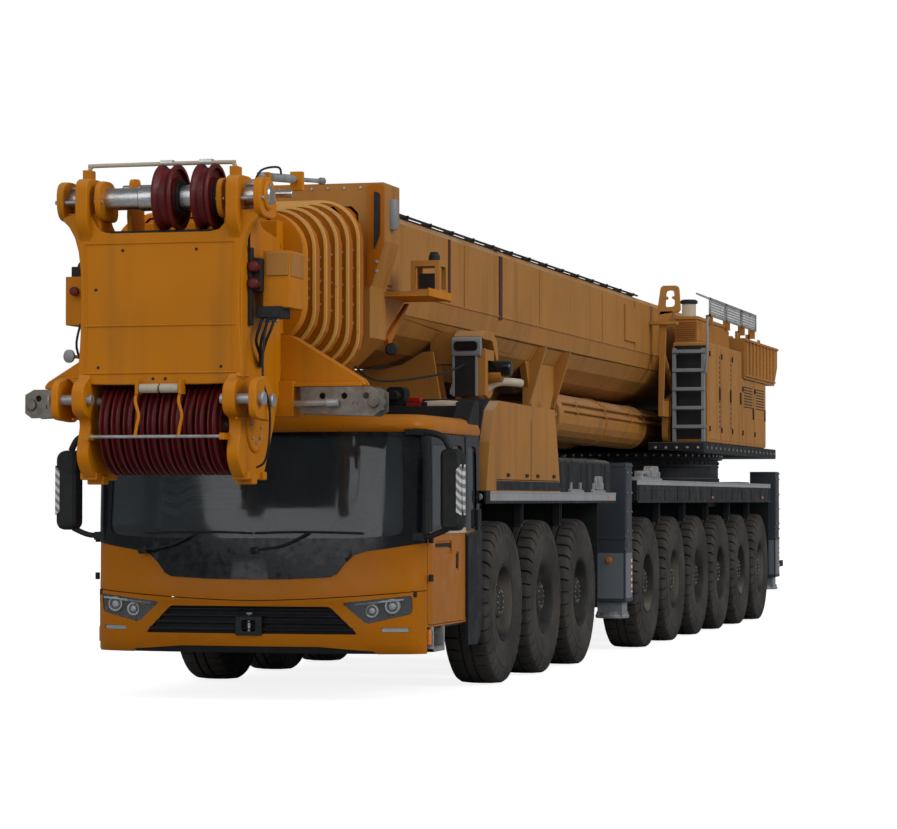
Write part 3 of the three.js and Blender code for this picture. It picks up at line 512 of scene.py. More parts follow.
def piece(name, shape, body, materials, bevel=0.004, replaces=(), angle=32, slot=None):
    """A named mesh on a body. A slot is looked up from its first material unless another is given, but
    the piece does not keep it.
    """
    materials = materials if isinstance(materials, list) else [materials]
    mesh = shape if isinstance(shape, bpy.types.Mesh) else shape.mesh(name, materials)
    if isinstance(shape, bpy.types.Mesh):
        for material in materials:
            mesh.materials.append(material)
    obj = bpy.data.objects.new(name, mesh)
    scene.collection.objects.link(obj)
    finish_piece(obj, body, slot or SLOTS[materials[0]], bevel, angle)
    if replaces:
        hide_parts(*replaces)
    return obj


def solid(shape):
    """A loose object for carving with."""
    obj = bpy.data.objects.new("tool", shape.mesh("tool", []))
    scene.collection.objects.link(obj)
    return obj


def carve(base, *steps):
    """Cuts or keeps: steps are ("-", shape), ("&", shape) or ("+", shape). Returns a mesh."""
    names = {"-": "DIFFERENCE", "&": "INTERSECT", "+": "UNION"}
    work = solid(base) if isinstance(base, Shape) else bpy.data.objects.new("tool", base.copy())
    if work.name not in scene.collection.objects:
        scene.collection.objects.link(work)
    tools = [solid(shape) for _, shape in steps]
    for (sign, _), tool in zip(steps, tools):
        step = work.modifiers.new("step", "BOOLEAN")
        step.operation = names[sign]
        step.solver = "MANIFOLD"
        step.object = tool
    graph = bpy.context.evaluated_depsgraph_get()
    graph.update()
    made = bpy.data.meshes.new_from_object(work.evaluated_get(graph))
    for obj in [work, *tools]:
        data = obj.data
        bpy.data.objects.remove(obj)
        bpy.data.meshes.remove(data)
    made.materials.clear()
    return made


def dress(names, material, bevel=0.006, segments=2):
    """Gives CAD nodes a finish and broken edges."""
    for name in names:
        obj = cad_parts[name]
        obj.data.materials.clear()
        obj.data.materials.append(material)
        flat = obj.modifiers.new("flat_faces", "DECIMATE")
        flat.decimate_type = "DISSOLVE"
        flat.angle_limit = math.radians(0.6)
        edges = obj.modifiers.new("edges", "BEVEL")
        edges.width = bevel
        edges.segments = segments
        edges.limit_method = "ANGLE"
        edges.angle_limit = math.radians(25)
        edges.harden_normals = True


# ------------------------------------------------------------------ running gear

LUGS = 36
GROOVE = (0.0, 0.07, 0.3, 0.37)
# Distance from the tyre's middle plane, radius, and how far each sinks in a tread groove.
TYRE_SIDE = ((0.152, 0.32, 0, 0), (0.186, 0.336, 0, 0), (0.203, 0.372, 0, 0), (0.2165, 0.43, 0, 0),
    (0.222, 0.5, 0, 0), (0.2215, 0.56, 0, 0), (0.2235, 0.566, 0, 0), (0.2225, 0.588, 0, 0),
    (0.218, 0.594, 0, 0), (0.213, 0.632, 0, 0), (0.2115, 0.65, 0.022, 0.0),
    (0.2045, 0.69, 0.026, 0.012), (0.19, 0.722, 0.018, 0.026), (0.17, 0.7355, 0, 0.03),
    (0.085, 0.7425, 0, 0.024), (0.056, 0.743, 0, 0.0), (0.05, 0.722, 0, 0), (0.038, 0.722, 0, 0),
    (0.032, 0.7435, 0, 0))
WHEEL_HOLES = 10
HUB_FACE = 0.175


def tyre_mesh():
    period = 2 * math.pi / LUGS
    shape = Shape(0)
    rings = []
    for lug in range(LUGS):
        for half in (0, 1):
            for k, part in enumerate(GROOVE):
                angle = (lug + half / 2 + part / 2) * period
                low = k in (1, 2)
                sunk = (low and half == 0, low and half == 1)
                points = []
                for side, order in ((1, TYRE_SIDE), (-1, reversed(TYRE_SIDE))):
                    in_groove = sunk[0] if side == 1 else sunk[1]
                    for h, r, dh, dr in order:
                        h = side * (h - dh * in_groove)
                        r = r - dr * in_groove
                        points.append(Vector((h, r * math.sin(angle), r * math.cos(angle))))
                rings.append(points)
    shape.loft(rings, closed=True)
    return shape.mesh("tyre", [RUBBER])


def rim_mesh():
    """Outside of the wheel towards +X: flange, dished disc with holes, nuts and hub."""
    shape = Shape(0)
    columns = WHEEL_HOLES * 8
    profile = ((-0.15, 0.3, 0), (-0.17, 0.326, 0), (0.176, 0.326, 0), (0.197, 0.352, 0),
        (0.203, 0.35, 0), (0.196, 0.33, 0), (0.178, 0.318, 0), (0.12, 0.306, 0), (0.096, 0.296, 0),
        (0.078, 0.284, 0), (0.074, 0.272, 1), (0.066, 0.236, 1), (0.063, 0.222, 0), (0.062, 0.16, 0),
        (0.1, 0.154, 0), (0.15, 0.146, 0), (0.16, 0.132, 0), (0.164, 0.06, 0),
        (HUB_FACE - 0.002, 0.05, 0), (HUB_FACE, 0.04, 0), (HUB_FACE, 0.001, 0))
    rings = []
    for h, r, holed in profile:
        ring_points = []
        for i in range(columns):
            a = 2 * math.pi * i / columns
            sink = 0.05 if holed and i % 8 in (2, 3, 4, 5) else 0
            ring_points.append(Vector((h - sink, r * math.sin(a), r * math.cos(a))))
        rings.append(ring_points)
    shape.loft(rings)
    step = 2 * math.pi / WHEEL_HOLES
    nuts = [(0.062, 0.19 * math.sin((i + 0.5) * step), 0.19 * math.cos((i + 0.5) * step))
        for i in range(WHEEL_HOLES)]
    shape.use(1)
    for nut in nuts:
        shape.bar(nut, (0.085, nut[1], nut[2]), 0.016, 6)
        shape.bar((0.08, nut[1], nut[2]), (0.1, nut[1], nut[2]), 0.01, 10)
    cap_bolts = [(0.163, 0.105 * math.sin(i * math.pi / 6), 0.105 * math.cos(i * math.pi / 6))
        for i in range(12)]
    shape.bolts(cap_bolts, (1, 0, 0), 0.008, 0.007)
    return shape.mesh("rim", [RIM, ZINC])


def add_wheels():
    tyre = tyre_mesh()
    rim = rim_mesh()
    count = 1
    while f"wheel_{count}_left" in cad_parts:
        for side in ("left", "right"):
            node = f"wheel_{count}_{side}"
            low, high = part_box(node)
            facing = 1 if side == "left" else -1
            centre = (low + high) / 2
            centre.x = facing * (max(abs(low.x), abs(high.x)) - TYRE_HALF)
            turn = Matrix.Rotation(0 if side == "left" else math.pi, 4, "Z")
            roll = Matrix.Rotation(math.pi / 2 * (count % 4), 4, "X")
            for mesh, part, slot in ((tyre, "tyre", "tyre_rubber"), (rim, "rim", "chassis_black")):
                obj = bpy.data.objects.new(f"{part}_{count}_{side}", mesh)
                scene.collection.objects.link(obj)
                obj.matrix_world = Matrix.Translation(centre) @ turn @ roll
                finish_piece(obj, node, slot, 0.0, 30)
                if part == "tyre":
                    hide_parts(node)
        count += 1


add_wheels()
dress(["axles", "chassis_frame"], BLACK, 0.006)
dress([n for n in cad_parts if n.startswith("knuckle_")], RIM, 0.006)
dress([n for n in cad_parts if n.startswith("outrigger_beam_")], YELLOW, 0.008)
dress([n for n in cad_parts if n.startswith("outrigger_jack_")], GREY, 0.006)
dress(["deck"], BLACK, 0.006)

# ------------------------------------------------------------------ driver's cab

CAB_PLAN = ((0, -2.95), (0.5, -2.938), (1.0, -2.89), (1.285, -2.81), (1.415, -2.7), (1.462, -2.54),
    (1.47, -2.4), (1.47, -1.5), (1.47, -0.9))
SCREEN = {"x": 1.31, "z": (1.35, 2.225)}
DOOR = {"y": (-2.58, -1.4), "z": (0.64, 2.24)}
DOOR_GLASS = {"y": (-2.485, -1.49), "z": (1.455, 2.15)}
REAR_GLASS = {"y": (-1.29, -1.0), "z": (1.43, 2.15)}
SILL = 1.4
BUMPER_BOTTOM = 0.4


def cab_curve():
    right = smooth_line([Vector((-0.5, -2.938, 0))] + [Vector((*p, 0)) for p in CAB_PLAN], 7)
    right = [p for p in right if p.x > 0.001]
    left = [Vector((-p.x, p.y, 0)) for p in reversed(right)]
    return left + [Vector((0, CAB_PLAN[0][1], 0))] + right


CAB_CURVE = cab_curve()


def wrap(rows, outer, inner, back=CAB_PLAN[-1][1]):
    """A band round the cab's front and sides. Rows are (height, lean back, narrowing)."""
    curve = [p for p in CAB_CURVE if p.y < back - 0.01]
    ends = [Vector((side * max(p.x for p in curve), back, 0)) for side in (-1, 1)]
    curve = [ends[0]] + curve + [ends[1]]
    rings = []
    for z, lean, narrow in rows:
        lines = []
        for out in (outer, inner):
            line = []
            for i, p in enumerate(curve):
                before = curve[max(i - 1, 0)]
                after = curve[min(i + 1, len(curve) - 1)]
                run = (after - before).normalized()
                normal = Vector((run.y, -run.x, 0))
                fore = min(max((-2.5 - p.y) / 0.35, 0), 1)
                x = (p.x + normal.x * out) * (1 - narrow)
                y = p.y + normal.y * out + lean * fore * fore * (3 - 2 * fore)
                line.append((x, y, z))
            lines.append(line)
        rings.append(lines[0] + list(reversed(lines[1])))
    return Shape().loft(rings)


def on_side(sign, a, b):
    """The X span from a to b, on the side of the vehicle that the sign names."""
    return sorted((sign * a, sign * b))


def flipped(sign, outline):
    """A front view as it stands on the side of the vehicle that the sign names."""
    return [(sign * x, z) for x, z in outline][::sign]


def rounded(x, z, radius, steps=6):
    """A rectangle with round corners."""
    (x0, x1), (z0, z1) = x, z
    out = []
    for cx, cz, start in ((x1 - radius, z1 - radius, 0), (x0 + radius, z1 - radius, 90),
            (x0 + radius, z0 + radius, 180), (x1 - radius, z0 + radius, 270)):
        out += arc(cx, cz, radius, start, start + 90, steps)
    return out


def rounded_corners(points, radius, steps=4):
    """A polygon with its corners rounded."""
    out = []
    count = len(points)
    for i, p in enumerate(points):
        here = Vector(p)
        before = Vector(points[i - 1]) - here
        after = Vector(points[(i + 1) % count]) - here
        cut = min(radius, before.length * 0.45, after.length * 0.45)
        a = here + before.normalized() * cut
        b = here + after.normalized() * cut
        for k in range(steps + 1):
            t = k / steps
            out.append(tuple((1 - t) ** 2 * a + 2 * t * (1 - t) * here + t * t * b))
    return out


def front_cutter(outline, y=(-3.3, -2.0)):
    return Shape().prism("Y", outline, y)


def side_cutter(y, z, radius, x=(1.1, 1.7)):
    return Shape().prism("X", rounded(y, z, radius), x)


def both_cutters(y, z, radius):
    return [("-", side_cutter(y, z, radius)), ("-", side_cutter(y, z, radius, (-1.7, -1.1)))]


def seam_height(x):
    """Upper edge of the bumper."""
    return 0.838 + 0.085 * min(abs(x) / 1.45, 1) ** 1.6


def below_seam(offset, low):
    xs = [-1.8 + 3.6 * i / 48 for i in range(49)]
    return [(x, seam_height(x) + offset) for x in xs] + [(1.8, low), (-1.8, low)]


LEAN = ((BUMPER_BOTTOM, 0.085, 0), (0.43, 0.055, 0), (0.5, 0.03, 0), (0.6, 0.02, 0), (0.8, 0.012, 0),
    (0.835, 0.0, 0), (0.96, 0.002, 0))
BODY_LEAN = ((0.62, 0.03, 0), (0.84, 0.02, 0), (0.98, 0.02, 0), (1.02, 0.032, 0), (1.2, 0.034, 0),
    (1.35, 0.04, 0), (1.5, 0.05, 0), (1.75, 0.068, 0.001), (2.0, 0.086, 0.003), (2.245, 0.104, 0.006))
GRILLE = [(-0.93, 0.565), (0.93, 0.565), (0.9, 0.6), (0.7, 0.795), (-0.7, 0.795), (-0.9, 0.6)]
LAMP = [(0.8, 0.826), (1.37, 0.89), (1.365, 0.735), (1.0, 0.652)]
GARNISH = [(-1.6, 2.3), (-1.6, 1.33), (-1.44, 1.322), (-1.2, 1.285), (-1.0, 1.255), (-0.9, 1.225),
    (-0.82, 1.15), (-0.76, 1.07), (-0.7, 1.04), (-0.35, 1.022), (0, 1.018), (0.35, 1.022), (0.7, 1.04),
    (0.76, 1.07), (0.82, 1.15), (0.9, 1.225), (1.0, 1.255), (1.2, 1.285), (1.44, 1.322), (1.6, 1.33),
    (1.6, 2.3)]


def screen_outline(grow):
    x = SCREEN["x"] + grow
    z0, z1 = SCREEN["z"][0] - grow, SCREEN["z"][1] + grow
    return rounded_corners([(-x, z0 + 0.03), (-0.7 * x, z0), (0.7 * x, z0), (x, z0 + 0.03),
        (x - 0.02, z1), (-x + 0.02, z1)], 0.09, 6)


def add_cab_body():
    doors = both_cutters((DOOR["y"][0] - 0.006, DOOR["y"][1] + 0.006),
        (DOOR["z"][0] - 0.006, DOOR["z"][1] + 0.006), 0.04)
    panes = both_cutters(REAR_GLASS["y"], REAR_GLASS["z"], 0.05)
    body = carve(wrap(BODY_LEAN, -0.002, -0.045), *doors, *panes,
        ("-", front_cutter(screen_outline(0))),
        ("-", front_cutter(below_seam(0.007, 0.2), (-3.3, -2.595))))
    piece("cab_shell", body, "carrier", YELLOW_CLEAN, 0.003, replaces=["driver_cab"])

    roof = Shape()
    rings = []
    for z, inset, lean in ((2.246, 0.0, 0.104), (2.268, -0.012, 0.08), (2.3, -0.012, 0.072),
            (2.345, 0.004, 0.09), (2.378, 0.03, 0.125), (2.396, 0.085, 0.19), (2.4, 0.16, 0.28)):
        line = []
        for p in CAB_CURVE:
            fore = min(max((-2.25 - p.y) / 0.6, 0), 1)
            side = 1 - (inset + 0.006) / 1.47
            y = p.y + lean * fore - (inset * 0.5 if p.y > -1.0 else 0)
            line.append(Vector((p.x * side, y, z)))
        rings.append(line)
    roof.loft(rings)
    piece("cab_roof", roof, "carrier", YELLOW_CLEAN, 0.006, angle=40)

    garnish = carve(wrap(BODY_LEAN, 0.004, -0.004, -2.595), ("&", front_cutter(GARNISH)),
        ("-", front_cutter(screen_outline(-0.012))))
    piece("screen_surround", garnish, "carrier", GLOSS, 0.0015)
    pillars = carve(wrap(BODY_LEAN, 0.003, -0.048), *doors, *panes,
        ("&", Shape().prism("X", [(-2.65, SILL), (-0.89, SILL + 0.02), (-0.89, 2.27), (-2.65, 2.27)],
        (-1.8, 1.8))))
    piece("side_pillars", pillars, "carrier", GLOSS, 0.0015)
    pane = carve(wrap(BODY_LEAN, -0.01, -0.018, -2.55), ("&", front_cutter(screen_outline(0.012))))
    piece("windscreen_pane", pane, "carrier", GLASS, 0, replaces=["windscreen"])
    grown_y = (REAR_GLASS["y"][0] - 0.01, REAR_GLASS["y"][1] + 0.01)
    grown_z = (REAR_GLASS["z"][0] - 0.01, REAR_GLASS["z"][1] + 0.01)
    for side, span in (("left", (1.1, 1.7)), ("right", (-1.7, -1.1))):
        quarter = carve(wrap(BODY_LEAN, -0.014, -0.02),
            ("&", side_cutter(grown_y, grown_z, 0.05, span)))
        piece(f"quarter_glass_{side}", quarter, "carrier", GLASS, 0)

    rear = Shape()
    rear.box((-1.43, 1.43), (-0.955, -0.902), (0.88, 2.27))
    rear.box((-1.4, 1.4), (-2.75, -0.94), (0.875, 0.925))
    rear.box((-0.45, 0.45), (-2.7, -0.95), (0.92, 1.16))
    rear = carve(rear.mesh("rear", []), ("-", Shape().prism("Y", rounded((-0.7, 0.7), (1.5, 2.1), 0.06),
        (-1.1, -0.8))))
    piece("cab_floor_and_back", rear, "carrier", MATT, 0.006)
    back_glass = Shape().box((-0.71, 0.71), (-0.935, -0.925), (1.49, 2.11))
    piece("back_glass", back_glass, "carrier", GLOSS, 0, slot="cab_glass")


def add_cab_inside():
    dash = Shape().prism("X", [(-2.85, 1.0), (-2.85, 1.3), (-2.75, 1.345), (-2.55, 1.335),
        (-2.41, 1.24), (-2.43, 1.12), (-2.55, 1.02)], (-1.02, 1.02))
    for sign in (1, -1):
        dash.prism("X", [(-2.66, 1.02), (-2.66, 1.32), (-2.55, 1.33), (-2.41, 1.24), (-2.43, 1.12)],
            on_side(sign, 1.0, 1.28))
    dash.prism("X", [(-2.67, 1.33), (-2.61, 1.42), (-2.47, 1.4), (-2.42, 1.28)], (0.42, 1.1))
    piece("dashboard", dash, "carrier", MATT, 0.02)
    papers_and_reflections = Shape()
    papers_and_reflections.prism("X", [(-2.8, 1.352), (-2.56, 1.35), (-2.56, 1.356), (-2.8, 1.358)], (-0.98, -0.62))
    papers_and_reflections.prism("X", [(-2.76, 1.359), (-2.6, 1.357), (-2.64, 1.43), (-2.65, 1.43)], (-0.88, -0.52))
    # Four pale slats behind the windscreen: painted reflections on the glass, built as a folded blind.
    for z in (1.58, 1.68, 1.78, 1.88):
        papers_and_reflections.prism("Y", [(-0.86, z), (-0.72, z - 0.035), (-0.58, z + 0.035), (-0.14, z + 0.03),
            (-0.14, z + 0.085), (-0.6, z + 0.09), (-0.72, z + 0.02), (-0.86, z + 0.055)],
            (-2.7, -2.694))
    piece("papers_and_reflection_slats", papers_and_reflections, "carrier", PAPER_AND_REFLECTION, 0, slot="operator_black")
    gauges = Shape()
    for x in (0.58, 0.76, 0.94):
        gauges.bar((x, -2.455, 1.352), (x, -2.442, 1.348), 0.06, 32)
    for i in range(7):
        gauges.box((-0.3 + 0.09 * i, -0.24 + 0.09 * i), (-2.432, -2.41), (1.17, 1.2))
    piece("gauges", gauges, "carrier", WHITE_LENS, 0.002, slot="operator_black")
    wheel = Shape()
    centre = Vector((0.76, -2.27, 1.38))
    axis = Vector((0, 0.75, 0.66)).normalized()
    rim = ring(centre, 0.225, axis, 40)
    side = axis.orthogonal().normalized()
    loops = []
    for p in rim:
        away = (p - centre).normalized()
        loops.append([p + 0.017 * (math.cos(a) * away + math.sin(a) * axis)
            for a in (2 * math.pi * i / 10 for i in range(10))])
    wheel.loft(loops, closed=True)
    for turn in (0.5, 2.6, 4.7):
        spoke = centre + 0.22 * (math.cos(turn) * side + math.sin(turn) * axis.cross(side))
        wheel.bar(centre - axis * 0.03, spoke, 0.014, 10)
    wheel.bar(centre - axis * 0.06, centre + axis * 0.01, 0.07, 24)
    wheel.bar(centre - axis * 0.35, centre - axis * 0.04, 0.035, 16)
    piece("steering_wheel", wheel, "carrier", MATT, 0.003)
    for side, x in (("left", 0.8), ("right", -0.8)):
        stand = Shape()
        stand.box((x - 0.2, x + 0.2), (-1.72, -1.32), (0.92, 0.99))
        stand.prism("X", [(-1.66, 0.98), (-1.6, 1.16), (-1.4, 1.16), (-1.36, 0.98)],
            (x - 0.14, x + 0.14))
        piece(f"seat_stand_{side}", stand, "carrier", MATT, 0.01)
        seat = Shape()
        seat.prism("X", rounded_corners([(-1.8, 1.17), (-1.82, 1.27), (-1.74, 1.3), (-1.36, 1.27),
            (-1.3, 1.17)], 0.05), (x - 0.25, x + 0.25))
        seat.prism("X", rounded_corners([(-1.4, 1.24), (-1.28, 1.9), (-1.18, 1.9), (-1.24, 1.22)],
            0.05), (x - 0.24, x + 0.24))
        seat.prism("X", rounded_corners([(-1.29, 1.92), (-1.27, 2.1), (-1.19, 2.1), (-1.18, 1.92)],
            0.04), (x - 0.13, x + 0.13))
        cushion = piece(f"seat_{side}", seat, "carrier", FABRIC, 0.03)


def add_bumper():
    lamps = [LAMP, [(-x, z) for x, z in reversed(LAMP)]]
    slots = [rounded((s * 1.235 - 0.11, s * 1.235 + 0.11), (0.585, 0.622), 0.012) for s in (1, -1)]
    tools = [("-", front_cutter(rounded_corners(o, 0.03))) for o in lamps + [GRILLE]]
    tools += [("-", front_cutter(o)) for o in slots]
    arch = [(-1.2, 0.3), (-1.05, 0.425), (-0.6, 0.46), (0.6, 0.46), (1.05, 0.425), (1.2, 0.3)]
    bumper = carve(wrap(LEAN, 0.0, -0.05, -2.595), ("&", front_cutter(below_seam(0, 0.2))),
        ("-", front_cutter(arch)), *tools)
    piece("bumper_skin", bumper, "carrier", YELLOW_CLEAN, 0.006, replaces=["front_bumper"])

    inner = carve(wrap(LEAN, -0.045, -0.1, -2.61), ("&", front_cutter(below_seam(-0.02, 0.2))))
    piece("bumper_lining", inner, "carrier", MATT, 0)
    grille = Shape()
    for z in (0.605, 0.66, 0.715, 0.77):
        half = 0.9 - 1.02 * (z - 0.6) if z > 0.6 else 0.9
        columns = [half * (2 * k / 24 - 1) for k in range(25)]
        blade = []
        for x in columns:
            y = -2.922 + 0.045 * x * x
            blade.append([Vector((x, y, z - 0.014)), Vector((x, y - 0.012, z)),
                Vector((x, y, z + 0.014)), Vector((x, y + 0.03, z + 0.01)),
                Vector((x, y + 0.03, z - 0.01))])
        grille.loft(blade)
    piece("grille_slats", grille, "carrier", GLOSS, 0.002)
    hitch = Shape()
    hitch.box((-0.115, 0.115), (-2.95, -2.85), (0.552, 0.71))
    hitch = carve(hitch, ("-", Shape().prism("Y", rounded((-0.06, 0.06), (0.585, 0.675), 0.02),
        (-3.0, -2.89))))
    piece("tow_hitch", hitch, "carrier", MATT, 0.008)
    pin = Shape().bar((0, -2.915, 0.57), (0, -2.915, 0.735), 0.016, 16)
    pin.bar((0, -2.915, 0.725), (0, -2.915, 0.742), 0.028, 16)
    for x in (-0.49, 0.47):
        pin.bar((x, -2.75, 0.4), (x, -2.75, 0.47), 0.016, 12)
    piece("hitch_pin", pin, "carrier", ZINC, 0.002)

    for side, sign in (("left", 1), ("right", -1)):
        outline = [(sign * x, z) for x, z in LAMP]
        if sign < 0:
            outline.reverse()
        grown = rounded_corners(outline, 0.03)
        bowl = carve(wrap(LEAN, -0.045, -0.052, -2.595), ("&", front_cutter(grown)))
        piece(f"lamp_back_{side}", bowl, "carrier", GLOSS, 0)
        cover = carve(wrap(LEAN, -0.006, -0.009, -2.595), ("&", front_cutter(grown)))
        piece(f"lamp_cover_{side}", cover, "carrier", CLEAR, 0)
        lens = Shape()
        for x, z, radius in ((1.05, 0.762, 0.043), (1.22, 0.802, 0.05)):
            y = -2.878 + 0.11 * max(x - 0.95, 0)
            lens.use(0).turned([(-0.045, radius + 0.012), (0, radius + 0.012), (0, radius),
                (-0.02, radius - 0.008), (-0.04, 0.01)], (sign * x, y, z), (0, -1, 0), 40)
            lens.use(1).turned([(-0.03, radius * 0.8), (-0.012, radius * 0.74), (0.004, radius * 0.5),
                (0.01, 0.002)], (sign * x, y, z), (0, -1, 0), 32)
        lens.use(1)
        lens.prism("Y", flipped(sign, ((0.9, 0.82), (1.32, 0.866), (1.32, 0.852), (0.9, 0.806))),
            (-2.862, -2.852))
        piece(f"lamp_lenses_{side}", lens, "carrier", [ZINC, WHITE_LENS], 0.001)
        strip = carve(wrap(LEAN, -0.008, -0.03, -2.595),
            ("&", front_cutter(rounded((sign * 1.235 - 0.108, sign * 1.235 + 0.108), (0.587, 0.62),
            0.012))))
        piece(f"marker_strip_{side}", strip, "carrier", WHITE_LENS, 0.002, slot="operator_black")


def add_doors():
    for side, sign in (("left", 1), ("right", -1)):
        span = (1.1, 1.7) if sign > 0 else (-1.7, -1.1)
        body = f"{side}_cab_door"
        leaf = side_cutter(DOOR["y"], DOOR["z"], 0.035, span)
        opening = side_cutter(DOOR_GLASS["y"], DOOR_GLASS["z"], 0.06, span)
        grips = [side_cutter((-2.4, -1.86), (1.225, 1.335), 0.02, (sign * 1.46, sign * 1.6)),
            side_cutter((-1.72, -1.62), (1.075, 1.235), 0.02, (sign * 1.46, sign * 1.6))]
        skin = carve(wrap(BODY_LEAN, 0.0, -0.05), ("&", leaf), ("-", opening),
            *[("-", g) for g in grips])
        piece(f"{side}_door_skin", skin, body, YELLOW_CLEAN, 0.004, replaces=[f"{side}_cab_door"])
        upper = side_cutter((DOOR["y"][0] + 0.001, DOOR["y"][1] - 0.001), (SILL + 0.002, 2.239), 0.03,
            span)
        inner = side_cutter(DOOR_GLASS["y"], (DOOR_GLASS["z"][0] + 0.01, DOOR_GLASS["z"][1]), 0.06,
            span)
        trim = carve(wrap(BODY_LEAN, 0.005, -0.052), ("&", upper), ("-", inner))
        piece(f"{side}_door_frame", trim, body, GLOSS, 0.002)
        grown = side_cutter([v + d for v, d in zip(DOOR_GLASS["y"], (-0.01, 0.01))],
            [v + d for v, d in zip(DOOR_GLASS["z"], (-0.01, 0.01))], 0.06, span)
        pane = carve(wrap(BODY_LEAN, -0.014, -0.02), ("&", grown))
        piece(f"{side}_door_glass", pane, body, GLASS, 0)
        bits = Shape()
        x = sign * 1.44
        bits.box(sorted((x, sign * 1.452)), (-2.41, -1.85), (1.215, 1.345))
        bits.box(sorted((x, sign * 1.452)), (-1.73, -1.61), (1.065, 1.245))
        bits.prism("X", rounded_corners([(-2.37, 1.3), (-2.35, 1.315), (-1.9, 1.315), (-1.89, 1.27),
            (-1.94, 1.285), (-2.35, 1.285)], 0.01), on_side(sign, 1.448, 1.472))
        bits.bar((sign * 1.45, -1.67, 1.115), (sign * 1.472, -1.67, 1.115), 0.022)
        bits.prism("X", rounded_corners([(-1.7, 1.14), (-1.69, 1.22), (-1.65, 1.22), (-1.64, 1.14)],
            0.012), on_side(sign, 1.448, 1.47))
        for z in (1.0, 1.32):
            bits.bar((sign * 1.484, -2.584, z), (sign * 1.484, -2.584, z + 0.06), 0.02, 20)
        piece(f"{side}_door_handle", bits, body, MATT, 0.002)
        # A pale strip along the top of the door's lower panel: painted highlight on the yellow lip.
        lip_highlight = Shape().prism("X", [(-2.575, SILL - 0.006), (-2.575, SILL + 0.01),
            (-1.405, SILL + 0.042), (-1.405, SILL - 0.006)], on_side(sign, 1.466, 1.48))
        piece(f"{side}_door_lip_highlight", lip_highlight, body, BEIGE, 0.004, slot="crane_yellow")


def add_mirrors():
    for side, sign in (("left", 1), ("right", -1)):
        shell = Shape()
        front, back = -2.795, -2.635
        rings = []
        for y, grow in ((front, -0.035), (front + 0.025, -0.008), (front + 0.07, 0.0), (back, 0.0)):
            outline = rounded_corners([(1.605 - grow, 1.47), (1.64, 1.425 - grow), (1.76, 1.425 - grow),
                (1.796 + grow, 1.48), (1.796 + grow, 2.05), (1.75, 2.105 + grow), (1.63, 2.105 + grow),
                (1.605 - grow, 2.06)], 0.03, 3)
            rings.append([Vector((sign * px, y, pz)) for px, pz in outline])
        shell.loft(rings)
        piece(f"mirror_shell_{side}", shell, "carrier", MATT, 0.004)
        face = Shape()
        face.use(0).prism("Y", rounded((sign * 1.7 - 0.075, sign * 1.7 + 0.075), (1.7, 2.07), 0.025),
            (back - 0.002, back + 0.004))
        face.prism("Y", rounded((sign * 1.7 - 0.075, sign * 1.7 + 0.075), (1.46, 1.67), 0.025),
            (back - 0.002, back + 0.004))
        piece(f"mirror_glass_{side}", face, "carrier", STEEL, 0.001)
        panel = Shape().prism("X", [(-2.75, 1.6), (-2.765, 1.9), (-2.69, 1.975), (-2.66, 1.975),
            (-2.66, 1.555), (-2.71, 1.555)], on_side(sign, 1.794, 1.7995))
        panel.prism("Y", flipped(sign, ((1.752, 1.58), (1.792, 1.555), (1.792, 1.975), (1.752, 1.93))),
            (front - 0.001, front + 0.035))
        piece(f"mirror_panel_{side}", panel, "carrier", STRIPES, 0.001, slot="bright_steel")
        arms = Shape()
        arms.pipe([(sign * 1.35, -2.69, 2.25), (sign * 1.5, -2.72, 2.24), (sign * 1.62, -2.71, 2.2),
            (sign * 1.68, -2.71, 2.1)], 0.028, 12)
        arms.pipe([(sign * 1.38, -2.69, 1.375), (sign * 1.52, -2.71, 1.385),
            (sign * 1.66, -2.71, 1.44)], 0.024, 12)
        arms.box(on_side(sign, 1.3, 1.46), (-2.75, -2.61), (2.22, 2.27))
        arms.box(on_side(sign, 1.36, 1.46), (-2.74, -2.65), (1.34, 1.41))
        piece(f"mirror_arms_{side}", arms, "carrier", MATT, 0.006)


